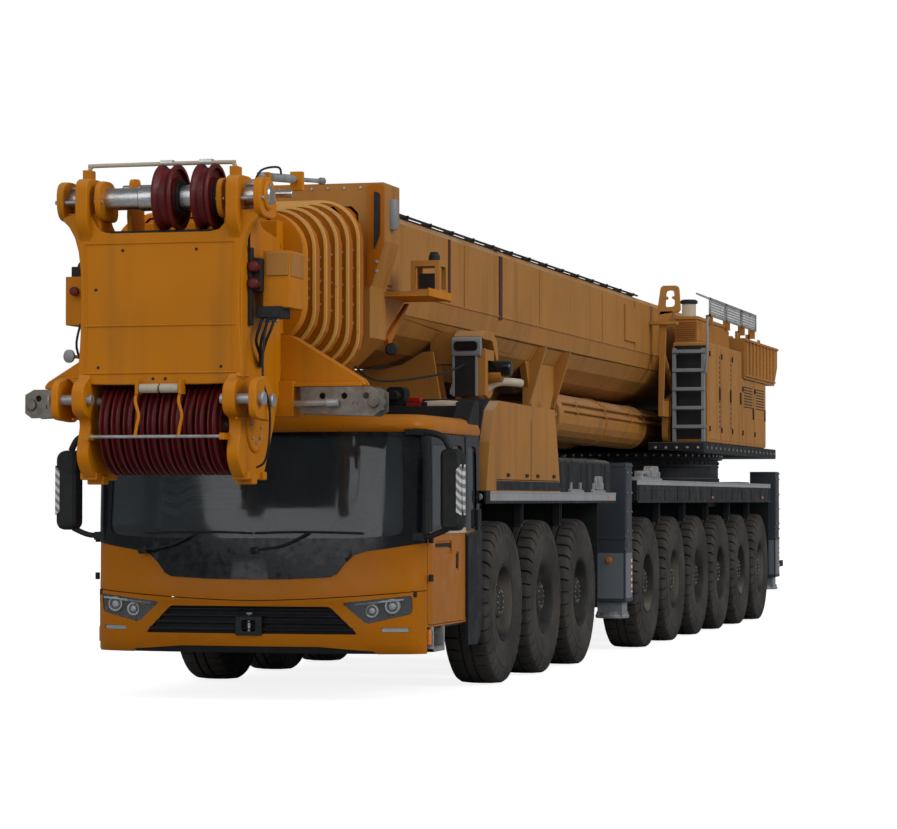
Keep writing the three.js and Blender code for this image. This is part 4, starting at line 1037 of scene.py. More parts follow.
def add_cab_fittings():
    wipers = Shape()
    for base, tip in ((-0.95, 0.02), (0.05, 0.98)):
        y = -2.932
        blade_z = 1.405
        wipers.pipe([(base, y + 0.02, 1.262), (base + 0.25, y - 0.004, 1.3),
            ((base + tip) / 2, y + 0.012, blade_z)], 0.011, 8)
        wipers.bar((base - 0.03, y + 0.03, 1.255), (base + 0.03, y, 1.262), 0.03, 20)
        curve = [(base + (tip - base) * t, -2.922 + 0.03 * (base + (tip - base) * t) ** 2,
            blade_z + 0.01 * math.sin(math.pi * t)) for t in (0, 0.25, 0.5, 0.75, 1)]
        wipers.pipe(curve, 0.009, 8, 3)
    piece("wipers", wipers, "carrier", MATT, 0)

    guards = Shape()
    for sign in (1, -1):
        x = on_side(sign, 1.455, 1.492)
        guards.prism("X", rounded_corners([(-1.378, 0.42), (-1.378, 1.39), (-0.866, 1.42),
            (-0.866, 0.7), (-0.93, 0.5), (-1.05, 0.405)], 0.03), x)
        guards.box(on_side(sign, 0.46, 1.49), (-1.02, -0.9), (0.9, 1.6))
        guards.box(on_side(sign, 1.0, 1.45), (-2.55, -1.42), (0.6, 0.66))
    piece("cab_guards", guards, "carrier", BLACK, 0.006)
    fairing = Shape()
    for sign in (1, -1):
        fairing.prism("X", rounded_corners([(-1.3, 2.28), (-0.9, 2.28), (-0.86, 2.4), (-0.86, 2.56),
            (-1.02, 2.56), (-1.2, 2.4)], 0.03), on_side(sign, 1.3, 1.46))
    fairing.box((-1.3, 1.3), (-0.93, -0.9), (2.36, 2.52))
    piece("roof_fairing", fairing, "carrier", MATT, 0.01)
    steps = Shape()
    for sign in (1, -1):
        x = on_side(sign, 1.2, 1.485)
        steps.use(0).box(x, (-2.52, -2.15), (0.41, 0.44))
        steps.box(x, (-2.52, -2.5), (0.41, 0.62))
        steps.box(x, (-2.17, -2.15), (0.41, 0.62))
        for i in range(5):
            steps.box(x, (-2.48 + 0.07 * i, -2.455 + 0.07 * i), (0.438, 0.452))
    piece("boarding_steps", steps, "carrier", ZINC, 0.004, slot="deck_grey")
    lamps = Shape()
    for sign in (1, -1):
        lamps.prism("X", rounded((-2.57, -2.535), (0.47, 0.6), 0.012), on_side(sign, 1.44, 1.475))
    piece("side_markers", lamps, "carrier", AMBER, 0.004, slot="chassis_black")
    roof = Shape()
    roof.use(0).pipe([(0.92, -0.7, 2.515), (1.08, -0.7, 2.522), (1.25, -0.69, 2.512)], 0.056, 20)
    roof.use(1).box((0.765, 0.895), (-0.78, -0.66), (2.46, 2.55))
    roof.box((0.775, 0.885), (-0.77, -0.67), (2.56, 2.6))
    roof.use(2).prism("Y", rounded((0.56, 0.735), (2.4, 2.7), 0.05), (-0.74, -0.56))
    roof.bar((0.66, -0.74, 2.62), (0.66, -0.86, 2.62), 0.045, 20)
    roof.box((0.9, 0.95), (-0.76, -0.62), (2.42, 2.56))
    roof.box((1.22, 1.27), (-0.76, -0.62), (2.42, 2.56))
    roof.box((0.5, 1.3), (-0.8, -0.6), (2.38, 2.46))
    piece("roof_fittings", roof, "carrier", [BEIGE, RED_LENS, MATT], 0.003, slot="operator_black")
    seams = Shape()
    for sign in (1, -1):
        seams.box(on_side(sign, 1.468, 1.4745), (-1.395, -1.388), (0.66, 2.24))
    piece("door_seals", seams, "carrier", MATT, 0)


add_cab_body()
add_cab_inside()
add_bumper()
add_doors()
add_mirrors()
add_cab_fittings()


# ------------------------------------------------------------------ deck, hood and outriggers

RAIL_FRONT = (-0.85, 4.94)
RAIL_REAR = (6.14, 15.94)
TANK = (2.42, 4.88)
SLEW = 12.6
AXLES = [0.0, 1.65, 3.3] + [6.9 + 1.65 * i for i in range(6)]


def spread(low, high, count):
    """Evenly spaced values, ends included."""
    return [low + (high - low) * i / (count - 1) for i in range(count)]


def add_rails():
    strip = Shape()
    beam = Shape()
    lamps = Shape()
    for sign in (1, -1):
        y = RAIL_FRONT
        strip.box(on_side(sign, 1.498, 1.508), y, (1.672, 1.745))
        strip.box(on_side(sign, 1.43, 1.512), y, (1.742, 1.758))
        beam.box(on_side(sign, 1.47, 1.514), y, (1.648, 1.672))
        y = RAIL_REAR
        strip.box(on_side(sign, 1.498, 1.512), y, (1.85, 1.892))
        strip.box(on_side(sign, 1.43, 1.514), y, (1.892, 1.908))
        beam.box(on_side(sign, 1.498, 1.505), y, (1.65, 1.846))
        beam.box(on_side(sign, 1.47, 1.515), y, (1.648, 1.672))
        beam.box(on_side(sign, 1.498, 1.511), y, (1.8, 1.815))
        for station in spread(RAIL_REAR[0] + 0.1, RAIL_REAR[1] - 0.1, 13):
            beam.box(on_side(sign, 1.5, 1.512), (station - 0.03, station + 0.03), (1.665, 1.835))
        for station in [v + 0.825 for v in AXLES[:2] + AXLES[3:-1]]:
            beam.box(on_side(sign, 1.375, 1.448), (station - 0.036, station + 0.036), (1.425, 1.66))
            beam.box(on_side(sign, 1.3, 1.46), (station - 0.012, station + 0.012), (1.46, 1.65))
        for station in (4.55, 11.05, 15.2):
            lamps.use(0).box(on_side(sign, 1.503, 1.518), (station - 0.04, station + 0.04),
                (1.7, 1.728))
        lamps.use(1).box(on_side(sign, 1.4, 1.522), (-0.85, -0.7), (1.655, 1.765))
        lamps.use(2).bar((sign * 1.46, -0.86, 1.71), (sign * 1.46, -0.846, 1.71), 0.03, 20)
    piece("rail_strips", strip, "carrier", RAIL, 0.004)
    piece("rail_beams", beam, "carrier", BLACK, 0.003)
    piece("rail_lamps", lamps, "carrier", [AMBER, MATT, WHITE_LENS], 0.004, slot="chassis_black")


def add_deck_parts():
    plates = Shape()
    spans = [(6.2, 7.35), (7.38, 8.53), (8.56, 9.71), (9.74, 11.22), (14.0, 15.88)]
    for y0, y1 in spans:
        for sign in (1, -1):
            plates.box(on_side(sign, 0.03, 1.135), (y0, y1), (1.69, 1.697))
    for sign in (1, -1):
        plates.box(on_side(sign, 1.16, 1.42), (6.18, 15.9), (1.9, 1.906))
    piece("tread_plates", plates, "carrier", DECK, 0.002)

    tank = Shape()
    for y in ((TANK[0] - 0.016, (TANK[0] + TANK[1]) / 2 - 0.01),
            ((TANK[0] + TANK[1]) / 2 + 0.01, TANK[1] + 0.016)):
        tank.box((-1.468, 1.468), (y[0], y[1]), (1.7, 2.104))
    piece("tank_shells", tank, "carrier", BLACK, 0.055, angle=50)
    bands = Shape()
    for y in (2.75, 3.35, 3.95, 4.55):
        for sign in (1, -1):
            bands.box(on_side(sign, 1.466, 1.474), (y, y + 0.05), (1.76, 2.05))
        bands.box((-1.42, 1.42), (y, y + 0.05), (2.102, 2.11))
    for x in (1.15, -1.15):
        bands.turned([(0, 0.07), (0.015, 0.075), (0.05, 0.075), (0.06, 0.06), (0.062, 0.002)],
            (x, 3.0, 2.1), (0, 0, 1), 32)
    piece("tank_bands", bands, "carrier", MATT, 0.003, slot="chassis_black")

    lashing = Shape()
    for sign in (1, -1):
        for y, low in ((2.75, 1.758), (3.85, 1.758), (6.45, 1.908), (7.05, 1.908)):
            lashing.prism("Y", [(sign * a, low + b) for a, b in ((1.36, 0), (1.5, 0), (1.5, 0.014),
                (1.475, 0.034), (1.36, 0.034))], (y, y + 0.62))
            for k in (0.06, 0.5):
                lashing.box(on_side(sign, 1.4, 1.488), (y + k, y + k + 0.05), (low + 0.03, low + 0.1))
            lashing.bar((sign * 1.445, y + 0.02, low + 0.082), (sign * 1.445, y + 0.6, low + 0.088),
                0.02, 12)
            lashing.bolts([(sign * 1.45, y + k, low + 0.034) for k in (0.2, 0.3, 0.4)], (0, 0, 1))
        lashing.prism("X", rounded((3.98, 4.34), (1.79, 1.93), 0.05), on_side(sign, 1.38, 1.49))
        lashing.prism("X", rounded((7.15, 7.5), (1.94, 2.07), 0.05), on_side(sign, 1.38, 1.49))
    piece("lashing_points", lashing, "carrier", ZINC, 0.003)

    boxes = Shape()
    for y0, y1, top in ((4.99, 5.42, 2.135), (5.5, 5.98, 2.135)):
        boxes.box((-1.1, 1.1), (y0, y1), (2.08, top))
    boxes.box((-1.05, 1.05), (16.02, 16.9), (1.89, 1.94))
    for x in (-0.9, -0.3, 0.3, 0.9):
        boxes.bar((x, 5.05, 2.13), (x, 5.05, 2.16), 0.03, 16)
    piece("outrigger_covers", boxes, "carrier", BLACK, 0.02)


def add_frame_parts():
    under = Shape()
    steel = Shape()
    for station in AXLES:
        y = station
        for sign in (1, -1):
            for offset in (-0.27, 0.27):
                under.bar((sign * 0.66, y + offset * 0.7, 0.7), (sign * 0.56, y + offset, 1.12), 0.06,
                    20)
                steel.bar((sign * 0.685, y + offset * 0.68, 0.62),
                    (sign * 0.63, y + offset * 0.8, 0.84), 0.034, 16)
            under.bar((sign * 0.3, y - 0.62, 0.86), (sign * 0.3, y - 0.08, 0.78), 0.03, 14)
            if station not in AXLES[:3]:
                under.turned([(0, 0.05), (0.01, 0.085), (0.07, 0.09), (0.13, 0.085), (0.15, 0.04)],
                    (sign * 0.8, y + 0.17, 0.86), (0, 1, 0), 24)
        under.turned([(-0.2, 0.07), (-0.17, 0.1), (-0.1, 0.16), (0, 0.19), (0.1, 0.16), (0.17, 0.1),
            (0.2, 0.07)], (0, y, HUB_HEIGHT), (0, 1, 0), 32)
    for a, b in zip(AXLES, AXLES[1:]):
        steel.bar((0, a + 0.19, HUB_HEIGHT), (0, b - 0.19, HUB_HEIGHT), 0.045, 20)
    for sign in (1, -1):
        under.pipe([(sign * 0.47, -0.3, 1.1), (sign * 0.47, 4.2, 1.12), (sign * 0.47, 5.0, 1.05)],
            0.018, 8)
        under.pipe([(sign * 0.475, 6.2, 1.4), (sign * 0.475, 15.0, 1.4)], 0.018, 8)
    piece("suspension", under, "carrier", BLACK, 0.004)
    piece("driveline", steel, "carrier", ZINC, 0.002)

    flaps = Shape()
    for sign in (1, -1):
        for a, b in list(zip(AXLES, AXLES[1:])):
            if b - a > 2:
                continue
            middle = (a + b) / 2
            flaps.box(on_side(sign, 1.06, 1.37), (middle - 0.006, middle + 0.006), (1.25, 1.66))
        for station in (AXLES[2] + 0.86, AXLES[-1] + 0.86):
            flaps.box(on_side(sign, 1.06, 1.47), (station, station + 0.012), (0.55, 1.66))
    piece("wheel_flaps", flaps, "carrier", MATT, 0.002, slot="chassis_black")

    rear = Shape()
    for sign in (1, -1):
        rear.use(0).box(on_side(sign, 0.75, 1.18), (17.47, 17.49), (0.37, 0.465))
        rear.use(1).box(on_side(sign, 0.8, 0.95), (17.488, 17.499), (0.385, 0.455))
        rear.use(2).box(on_side(sign, 0.97, 1.08), (17.488, 17.499), (0.385, 0.455))
        rear.use(0).box(on_side(sign, 1.1, 1.46), (17.2, 17.49), (0.7, 0.79))
        rear.box(on_side(sign, 0.6, 1.14), (17.02, 17.26), (0.72, 0.77))
        rear.box(on_side(sign, 1.36, 1.44), (17.03, 17.1), (0.76, 1.3))
        rear.use(1).box(on_side(sign, 1.2, 1.4), (17.488, 17.498), (0.72, 0.775))
    rear.use(0).bar((0, 17.0, 0.9), (0, 17.16, 0.9), 0.07, 24)
    rear.box((-0.2, 0.2), (16.99, 17.02), (1.05, 1.55))
    piece("tail_lamps", rear, "carrier", [MATT, RED_LENS, AMBER], 0.004, slot="chassis_black")


def add_outriggers():
    column = paint("column_look", (0.042, 0.052, 0.066), 0.42, streaks=0.3, dusting=0.4)
    pale = paint("column_foot_look", (0.17, 0.19, 0.21), 0.5, streaks=0.4)
    warn = striped_look("warning_look", (0.65, 0.62, 0.58), (0.45, 0.02, 0.015))
    for name in [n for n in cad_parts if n.startswith("outrigger_beam_")]:
        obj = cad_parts[name]
        obj.data.materials.clear()
        obj.data.materials.append(column)
        low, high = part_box(name)
        side = 1 if high.x > 1.2 else -1
        outer = high.x if side > 0 else -low.x
        y0, y1 = low.y, high.y
        detail = Shape(0)
        detail.use(0)
        face = sorted((side * (outer - 0.002), side * (outer + 0.008)))
        detail.box(face, (y0 + 0.04, y1 - 0.04), (1.3, 2.02))
        detail.box(face, (y0 + 0.06, y1 - 0.06), (1.16, 1.22))
        for z in (0.585, 1.12, 1.26, 2.06):
            detail.box(sorted((side * (outer - 0.36), side * (outer + 0.01))), (y0 - 0.006, y1 + 0.006),
                (z - 0.014, z + 0.014))
        detail.use(1).box(face, (y0 + 0.015, y1 - 0.015), (0.6, 1.1))
        detail.box(sorted((side * (outer - 0.33), side * (outer - 0.02))), (y0 - 0.004, y0 + 0.002),
            (0.6, 1.1))
        detail.use(2).box(sorted((side * (outer + 0.006), side * (outer + 0.011))),
            (y1 - 0.09, y1 - 0.03), (0.66, 1.04))
        detail.use(3).bolts([(side * (outer + 0.008), y, z) for y in (y0 + 0.07, y1 - 0.07)
            for z in (1.34, 1.55, 1.76, 1.98)], (side, 0, 0))
        piece(name + "_plates", detail, name, [column, pale, warn, ZINC], 0.003, slot="chassis_black")
        lamp = Shape(0).bar((side * (outer - 0.18), y0 - 0.02, 1.02),
            (side * (outer - 0.18), y0 + 0.002, 1.02), 0.032, 24)
        piece(name + "_lamp", lamp, name, AMBER, 0.002, slot="chassis_black")
    for name in [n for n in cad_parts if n.startswith("outrigger_jack_")]:
        low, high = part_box(name)
        side = 1 if high.x > 0 else -1
        x = side * (1.123 + 1.49) / 2
        y = (low.y + high.y) / 2
        foot = Shape(0).turned([(0.0, 0.15), (0.004, 0.184), (0.03, 0.188), (0.04, 0.18), (0.075, 0.1),
            (0.095, 0.085), (0.15, 0.08), (0.16, 0.002)], (x, y, low.z), (0, 0, 1), 40)
        piece(name + "_foot", foot, name, ZINC, 0.002)


CRADLE_SEAT = 2.905


def add_hood():
    dress(["engine_hood"], YELLOW_DUSTY, 0.045, 4)
    dress(["carrier_engine"], GREY, 0.02)
    seams = Shape()
    band = Shape()
    for sign in (1, -1):
        x = on_side(sign, 1.489, 1.4925)
        seams.box(x, (-0.34, 2.21), (1.862, 1.87))
        seams.box(x, (1.02, 1.028), (1.87, 2.44))
        for y in (0.05, 0.8, 1.25, 1.95):
            seams.box(on_side(sign, 1.489, 1.502), (y, y + 0.09), (1.895, 1.925))
        band.box(on_side(sign, 1.489, 1.4945), (-0.34, 2.262), (1.77, 1.855))
    for y in spread(0.3, 1.6, 14):
        seams.prism("X", [(y, 2.57), (y + 0.05, 2.6), (y + 0.06, 2.597), (y + 0.02, 2.57)], (-0.9, 0.9))
    piece("hood_seams", seams, "carrier", MATT, 0)
    piece("hood_band", band, "carrier", BLACK, 0.002)
    intake = Shape()
    outline = rounded_corners([(-0.765, 1.765), (-0.625, 2.2), (-0.455, 2.515), (-0.25, 2.606),
        (-0.105, 2.606), (-0.2, 2.54), (-0.33, 2.38), (-0.33, 1.765)], 0.03)
    intake.prism("X", outline, (-1.395, 1.395))
    piece("hood_intake", intake, "carrier", MATT, 0.02, angle=40)
    cradle = Shape()
    seat = [(-0.62, CRADLE_SEAT + 0.16), (-0.42, CRADLE_SEAT + 0.045), (-0.22, CRADLE_SEAT),
        (0.22, CRADLE_SEAT), (0.42, CRADLE_SEAT + 0.045), (0.62, CRADLE_SEAT + 0.16)]
    for y in (0.3, 0.52):
        cradle.prism("Y", [(-0.8, 2.585), (0.8, 2.585),
            (0.72, CRADLE_SEAT + 0.16)] + seat[::-1] + [(-0.72, CRADLE_SEAT + 0.16)], (y, y + 0.03))
    for px in (-0.7, -0.25, 0.22, 0.67):
        cradle.box((px, px + 0.03), (0.32, 0.53), (2.585, CRADLE_SEAT - 0.02))
    cradle.box((-0.85, 0.85), (0.22, 0.63), (2.585, 2.607))
    piece("boom_cradle", cradle, "carrier", YELLOW_DUSTY, 0.006)
    stack = Shape()
    stack.turned([(0, 0.11), (0.02, 0.12), (0.22, 0.12), (0.26, 0.1), (0.262, 0.085), (0.2, 0.08),
        (0.19, 0.002)], (-1.15, 1.8, 2.5), (0, 0, 1), 40)
    piece("exhaust_stack", stack, "carrier", ZINC, 0.002)


add_rails()
add_deck_parts()
add_frame_parts()
add_outriggers()
add_hood()

# ------------------------------------------------------------------ boom

BOOM_HALF = 0.8
BOOM_TOP = 4.2
BOOM_BOTTOM = 2.92
CREASE = 3.53
SECTION_STEP = 0.04
SECTION_WALL = 0.022
HEAD_INSET = 6 * SECTION_STEP
HEAD_FRONT = -5.05
HEAD_BACK = -4.1
CHEEK = (0.56, 0.66)
EAR = (0.77, 0.83)
UPPER_SHAFT = (-4.96, 4.01)
LOWER_SHAFT = (-4.76, 2.245)
LUFF_FOOT = (13.2, 2.595)
LUFF_EYE = (5.05, 2.64)
RAM_X = 0.38


def boom_outline(inset, steps=32):
    """Front view of a section: flat top, straight flanks and a round belly."""
    half = BOOM_HALF - inset
    top = BOOM_TOP - inset
    depth = CREASE - BOOM_BOTTOM - inset
    points = [(half, top - 0.06), (half - 0.06, top), (0.06 - half, top), (-half, top - 0.06)]
    for i in range(steps + 1):
        angle = math.pi + math.pi * i / steps
        points.append((half * math.cos(angle), CREASE + depth * math.sin(angle)))
    return points


def hollow_prism(outer, inner, y):
    """A pipe of any front view; both outlines have the same number of points."""
    rings = []
    for outline, station in ((inner, y[0]), (outer, y[0]), (outer, y[1]), (inner, y[1])):
        rings.append([Vector((px, station, pz)) for px, pz in outline])
    return Shape().loft(rings, closed=True)


def add_boom_base():
    dress(["boom_base"], YELLOW_DUSTY, 0.01)
    trim = Shape()
    brown = Shape()
    for sign in (1, -1):
        trim.box(on_side(sign, 0.795, 0.808), (-1.85, 14.1), (3.522, 3.538))
        for station in (1.15, 4.35, 7.6, 9.55):
            trim.box(on_side(sign, 0.796, 0.81), (station, station + 0.012), (3.54, 4.135))
        trim.box(on_side(sign, 0.79, 0.822), (8.9, 9.55), (3.62, 4.06))
        trim.box(on_side(sign, 0.79, 0.818), (-1.85, -1.4), (3.56, 4.1))
        brown.box(on_side(sign, 0.796, 0.813), (2.55, 2.66), (3.5, 4.14))
        brown.box(on_side(sign, 0.796, 0.811), (0.55, 0.61), (3.55, 4.14))
    trim.box((-0.62, 0.62), (-1.85, 14.0), (4.198, 4.212))
    brown.box((-0.79, 0.79), (2.55, 2.66), (4.198, 4.216))
    piece("boom_seams", trim, "boom", YELLOW_DUSTY, 0.003)
    piece("boom_straps", brown, "boom", paint("strap_look", (0.075, 0.026, 0.018), 0.6), 0.003,
        slot="crane_yellow")

    cables = Shape()
    cables.pipe([(0.765, -1.9, 4.228), (0.765, 3.0, 4.226), (0.765, 9.9, 4.226)], 0.012, 8, 2)
    cables.pipe([(0.7, -1.9, 4.222), (0.7, 9.9, 4.222)], 0.009, 8, 2)
    for y in spread(-1.6, 9.6, 15):
        cables.box((0.68, 0.785), (y, y + 0.03), (4.205, 4.24))
    cables.pipe([(0.62, -1.95, 2.84), (0.75, -1.6, 2.72), (0.95, -0.4, 2.82), (1.02, 0.35, 2.95)], 0.01,
        8)
    piece("boom_cables", cables, "boom", MATT, 0)

    # The base collar plates take the darker yellow, which is painted shade.
    front = Shape()
    for sign in (1, -1):
        front.use(0).prism("Y", rounded_corners([(sign * a, b)
            for a, b in ((0.86, 4.36), (1.012, 4.36), (1.012, 3.86), (0.9, 3.5), (0.86, 3.5))][::sign],
            0.04), (-2.365, -2.345))
        front.use(1).prism("Y", rounded_corners([(sign * a, b)
            for a, b in ((0.925, 4.3), (0.975, 4.28), (0.975, 3.93), (0.925, 3.8))][::sign], 0.02),
            (-2.385, -2.36))
        front.use(2).turned([(-0.13, 0.002), (-0.13, 0.05), (-0.11, 0.06), (0.11, 0.06), (0.13, 0.05),
            (0.13, 0.002)], (sign * 1.0, -2.1, 4.12), (0, 0, 1), 28)
        front.use(0).prism("X", [(-1.86, 3.08), (-1.2, 3.42), (-1.16, 3.42), (-1.82, 3.0)],
            on_side(sign, 0.86, 0.9))
        front.use(3).bolts([(sign * 0.945, -2.365, z) for z in (3.62, 3.7)], (0, -1, 0), 0.016)
    front.use(3).bolts([(px, -2.35, 4.335) for px in spread(-0.8, 0.8, 12)], (0, -1, 0), 0.014)
    front.bolts([(px, -2.35, 2.79) for px in spread(-0.5, 0.5, 8)], (0, -1, 0), 0.014)
    piece("base_collar_parts", front, "boom", [YELLOW_PAINTED_SHADE, MATT, GREY, ZINC], 0.004)

    bracket = Shape()
    bracket.use(0).box((0.8, 1.285), (-1.905, -1.145), (3.434, 3.446))
    bracket.box((1.268, 1.285), (-1.905, -1.145), (3.44, 3.505))
    bracket.use(1).box((1.08, 1.22), (-1.5, -1.38), (3.5, 3.66))
    bracket.turned([(0, 0.05), (0.06, 0.05), (0.1, 0.035), (0.105, 0.002)], (1.15, -1.25, 3.765),
        (0, 0, 1), 28)
    bracket.box((1.06, 1.24), (-1.32, -1.18), (3.745, 3.772))
    bracket.turned([(0, 0.05), (0.03, 0.055), (0.05, 0.045), (0.052, 0.002)], (0.93, -1.86, 2.98),
        (0.3, -1, 0), 24)
    piece("side_bracket_parts", bracket, "boom", [YELLOW, MATT], 0.005, slot="operator_black")

    reel = Shape()
    reel.use(0).box((0.905, 1.105), (0.385, 0.505), (2.65, 3.06))
    reel.use(1)
    for px in (0.885, 1.105):
        reel.box((px, px + 0.022), (0.372, 0.56), (2.65, 3.1))
    reel.prism("X", rounded_corners([(0.36, 3.02), (0.36, 3.19), (0.42, 3.215), (0.44, 3.1),
        (0.5, 3.05)], 0.03), (0.88, 1.16))
    reel.use(4).prism("X", rounded_corners([(0.4, 3.205), (0.54, 3.275), (0.9, 3.275), (1.05, 3.19),
        (1.1, 3.02), (1.04, 3.0), (0.86, 3.19), (0.56, 3.19)], 0.05), (0.885, 1.155))
    reel.use(2).prism("Y", rounded((0.905, 1.135), (3.075, 3.165), 0.035), (0.348, 0.365))
    reel.use(1).turned([(0, 0.225), (0.015, 0.232), (0.03, 0.232), (0.03, 0.18), (0.2, 0.17),
        (0.2, 0.232), (0.22, 0.232), (0.235, 0.22), (0.235, 0.1)], (0.905, 0.7, 2.88), (1, 0, 0), 48)
    reel.use(2).turned([(0, 0.07), (0.02, 0.075), (0.235, 0.075), (0.25, 0.062), (0.252, 0.002)],
        (1.13, 0.7, 2.92), (1, 0, 0), 36)
    reel.use(3).pipe([(1.08, 0.66, 2.645), (1.14, 0.72, 2.74), (1.22, 0.8, 2.795), (1.32, 0.92, 2.8),
        (1.4, 1.02, 2.79)], 0.04, 16)
    winding = [(0.031, 0.17)]
    winding += [(0.04 + 0.01 * i, 0.195 + 0.006 * (i % 2)) for i in range(16)]
    reel.use(2).turned(winding + [(0.2, 0.17)], (0.905, 0.7, 2.88), (1, 0, 0), 40)
    piece("cable_reel", reel, "boom", [MATT, GREY, GLOSS, BEIGE, YELLOW_DUSTY], 0.006)


def add_sections():
    for index in range(1, 6):
        name = f"boom_section_{index}"
        # The sections are dressed in the darker yellow, which paints shade on them.
        dress([name], YELLOW_PAINTED_SHADE, 0.014, 3)
        low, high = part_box(name)
        half = high.x
        # A lighter yellow rim strip round each collar's front: painted highlight along the collar edge.
        # The bolts on it are real.
        edge = Shape(0)
        front = low.y
        top, bottom = high.z, low.z
        outer = rounded((-half - 0.004, half + 0.004), (bottom - 0.004, top + 0.004), 0.334, 10)
        inner = rounded((-half + 0.02, half - 0.02), (bottom + 0.02, top - 0.02), 0.31, 10)
        rings = []
        for outline, y in ((inner, front - 0.008), (outer, front - 0.004), (outer, front + 0.018),
                (inner, front + 0.018)):
            rings.append([Vector((px, y, pz)) for px, pz in outline])
        edge.use(0).loft(rings, closed=True)
        spots = [(half - 0.055, z) for z in spread(bottom + 0.42, top - 0.42, 5)]
        spots += [(x, top - 0.05) for x in spread(0.08, half - 0.38, 3)]
        spots += [(x, bottom + 0.05) for x in spread(0.08, half - 0.38, 3)]
        edge.use(1).bolts([(s * a, front, b) for a, b in spots for s in (1, -1)], (0, -1, 0), 0.013,
            0.014)
        # The pale rim colour is a painted highlight.
        piece(name + "_collar_edge", edge, name, [paint(f"painted_highlight_edge_{index}_look", (0.66, 0.34, 0.06),
            0.4, streaks=0.2), ZINC], 0.003, slot="crane_yellow")


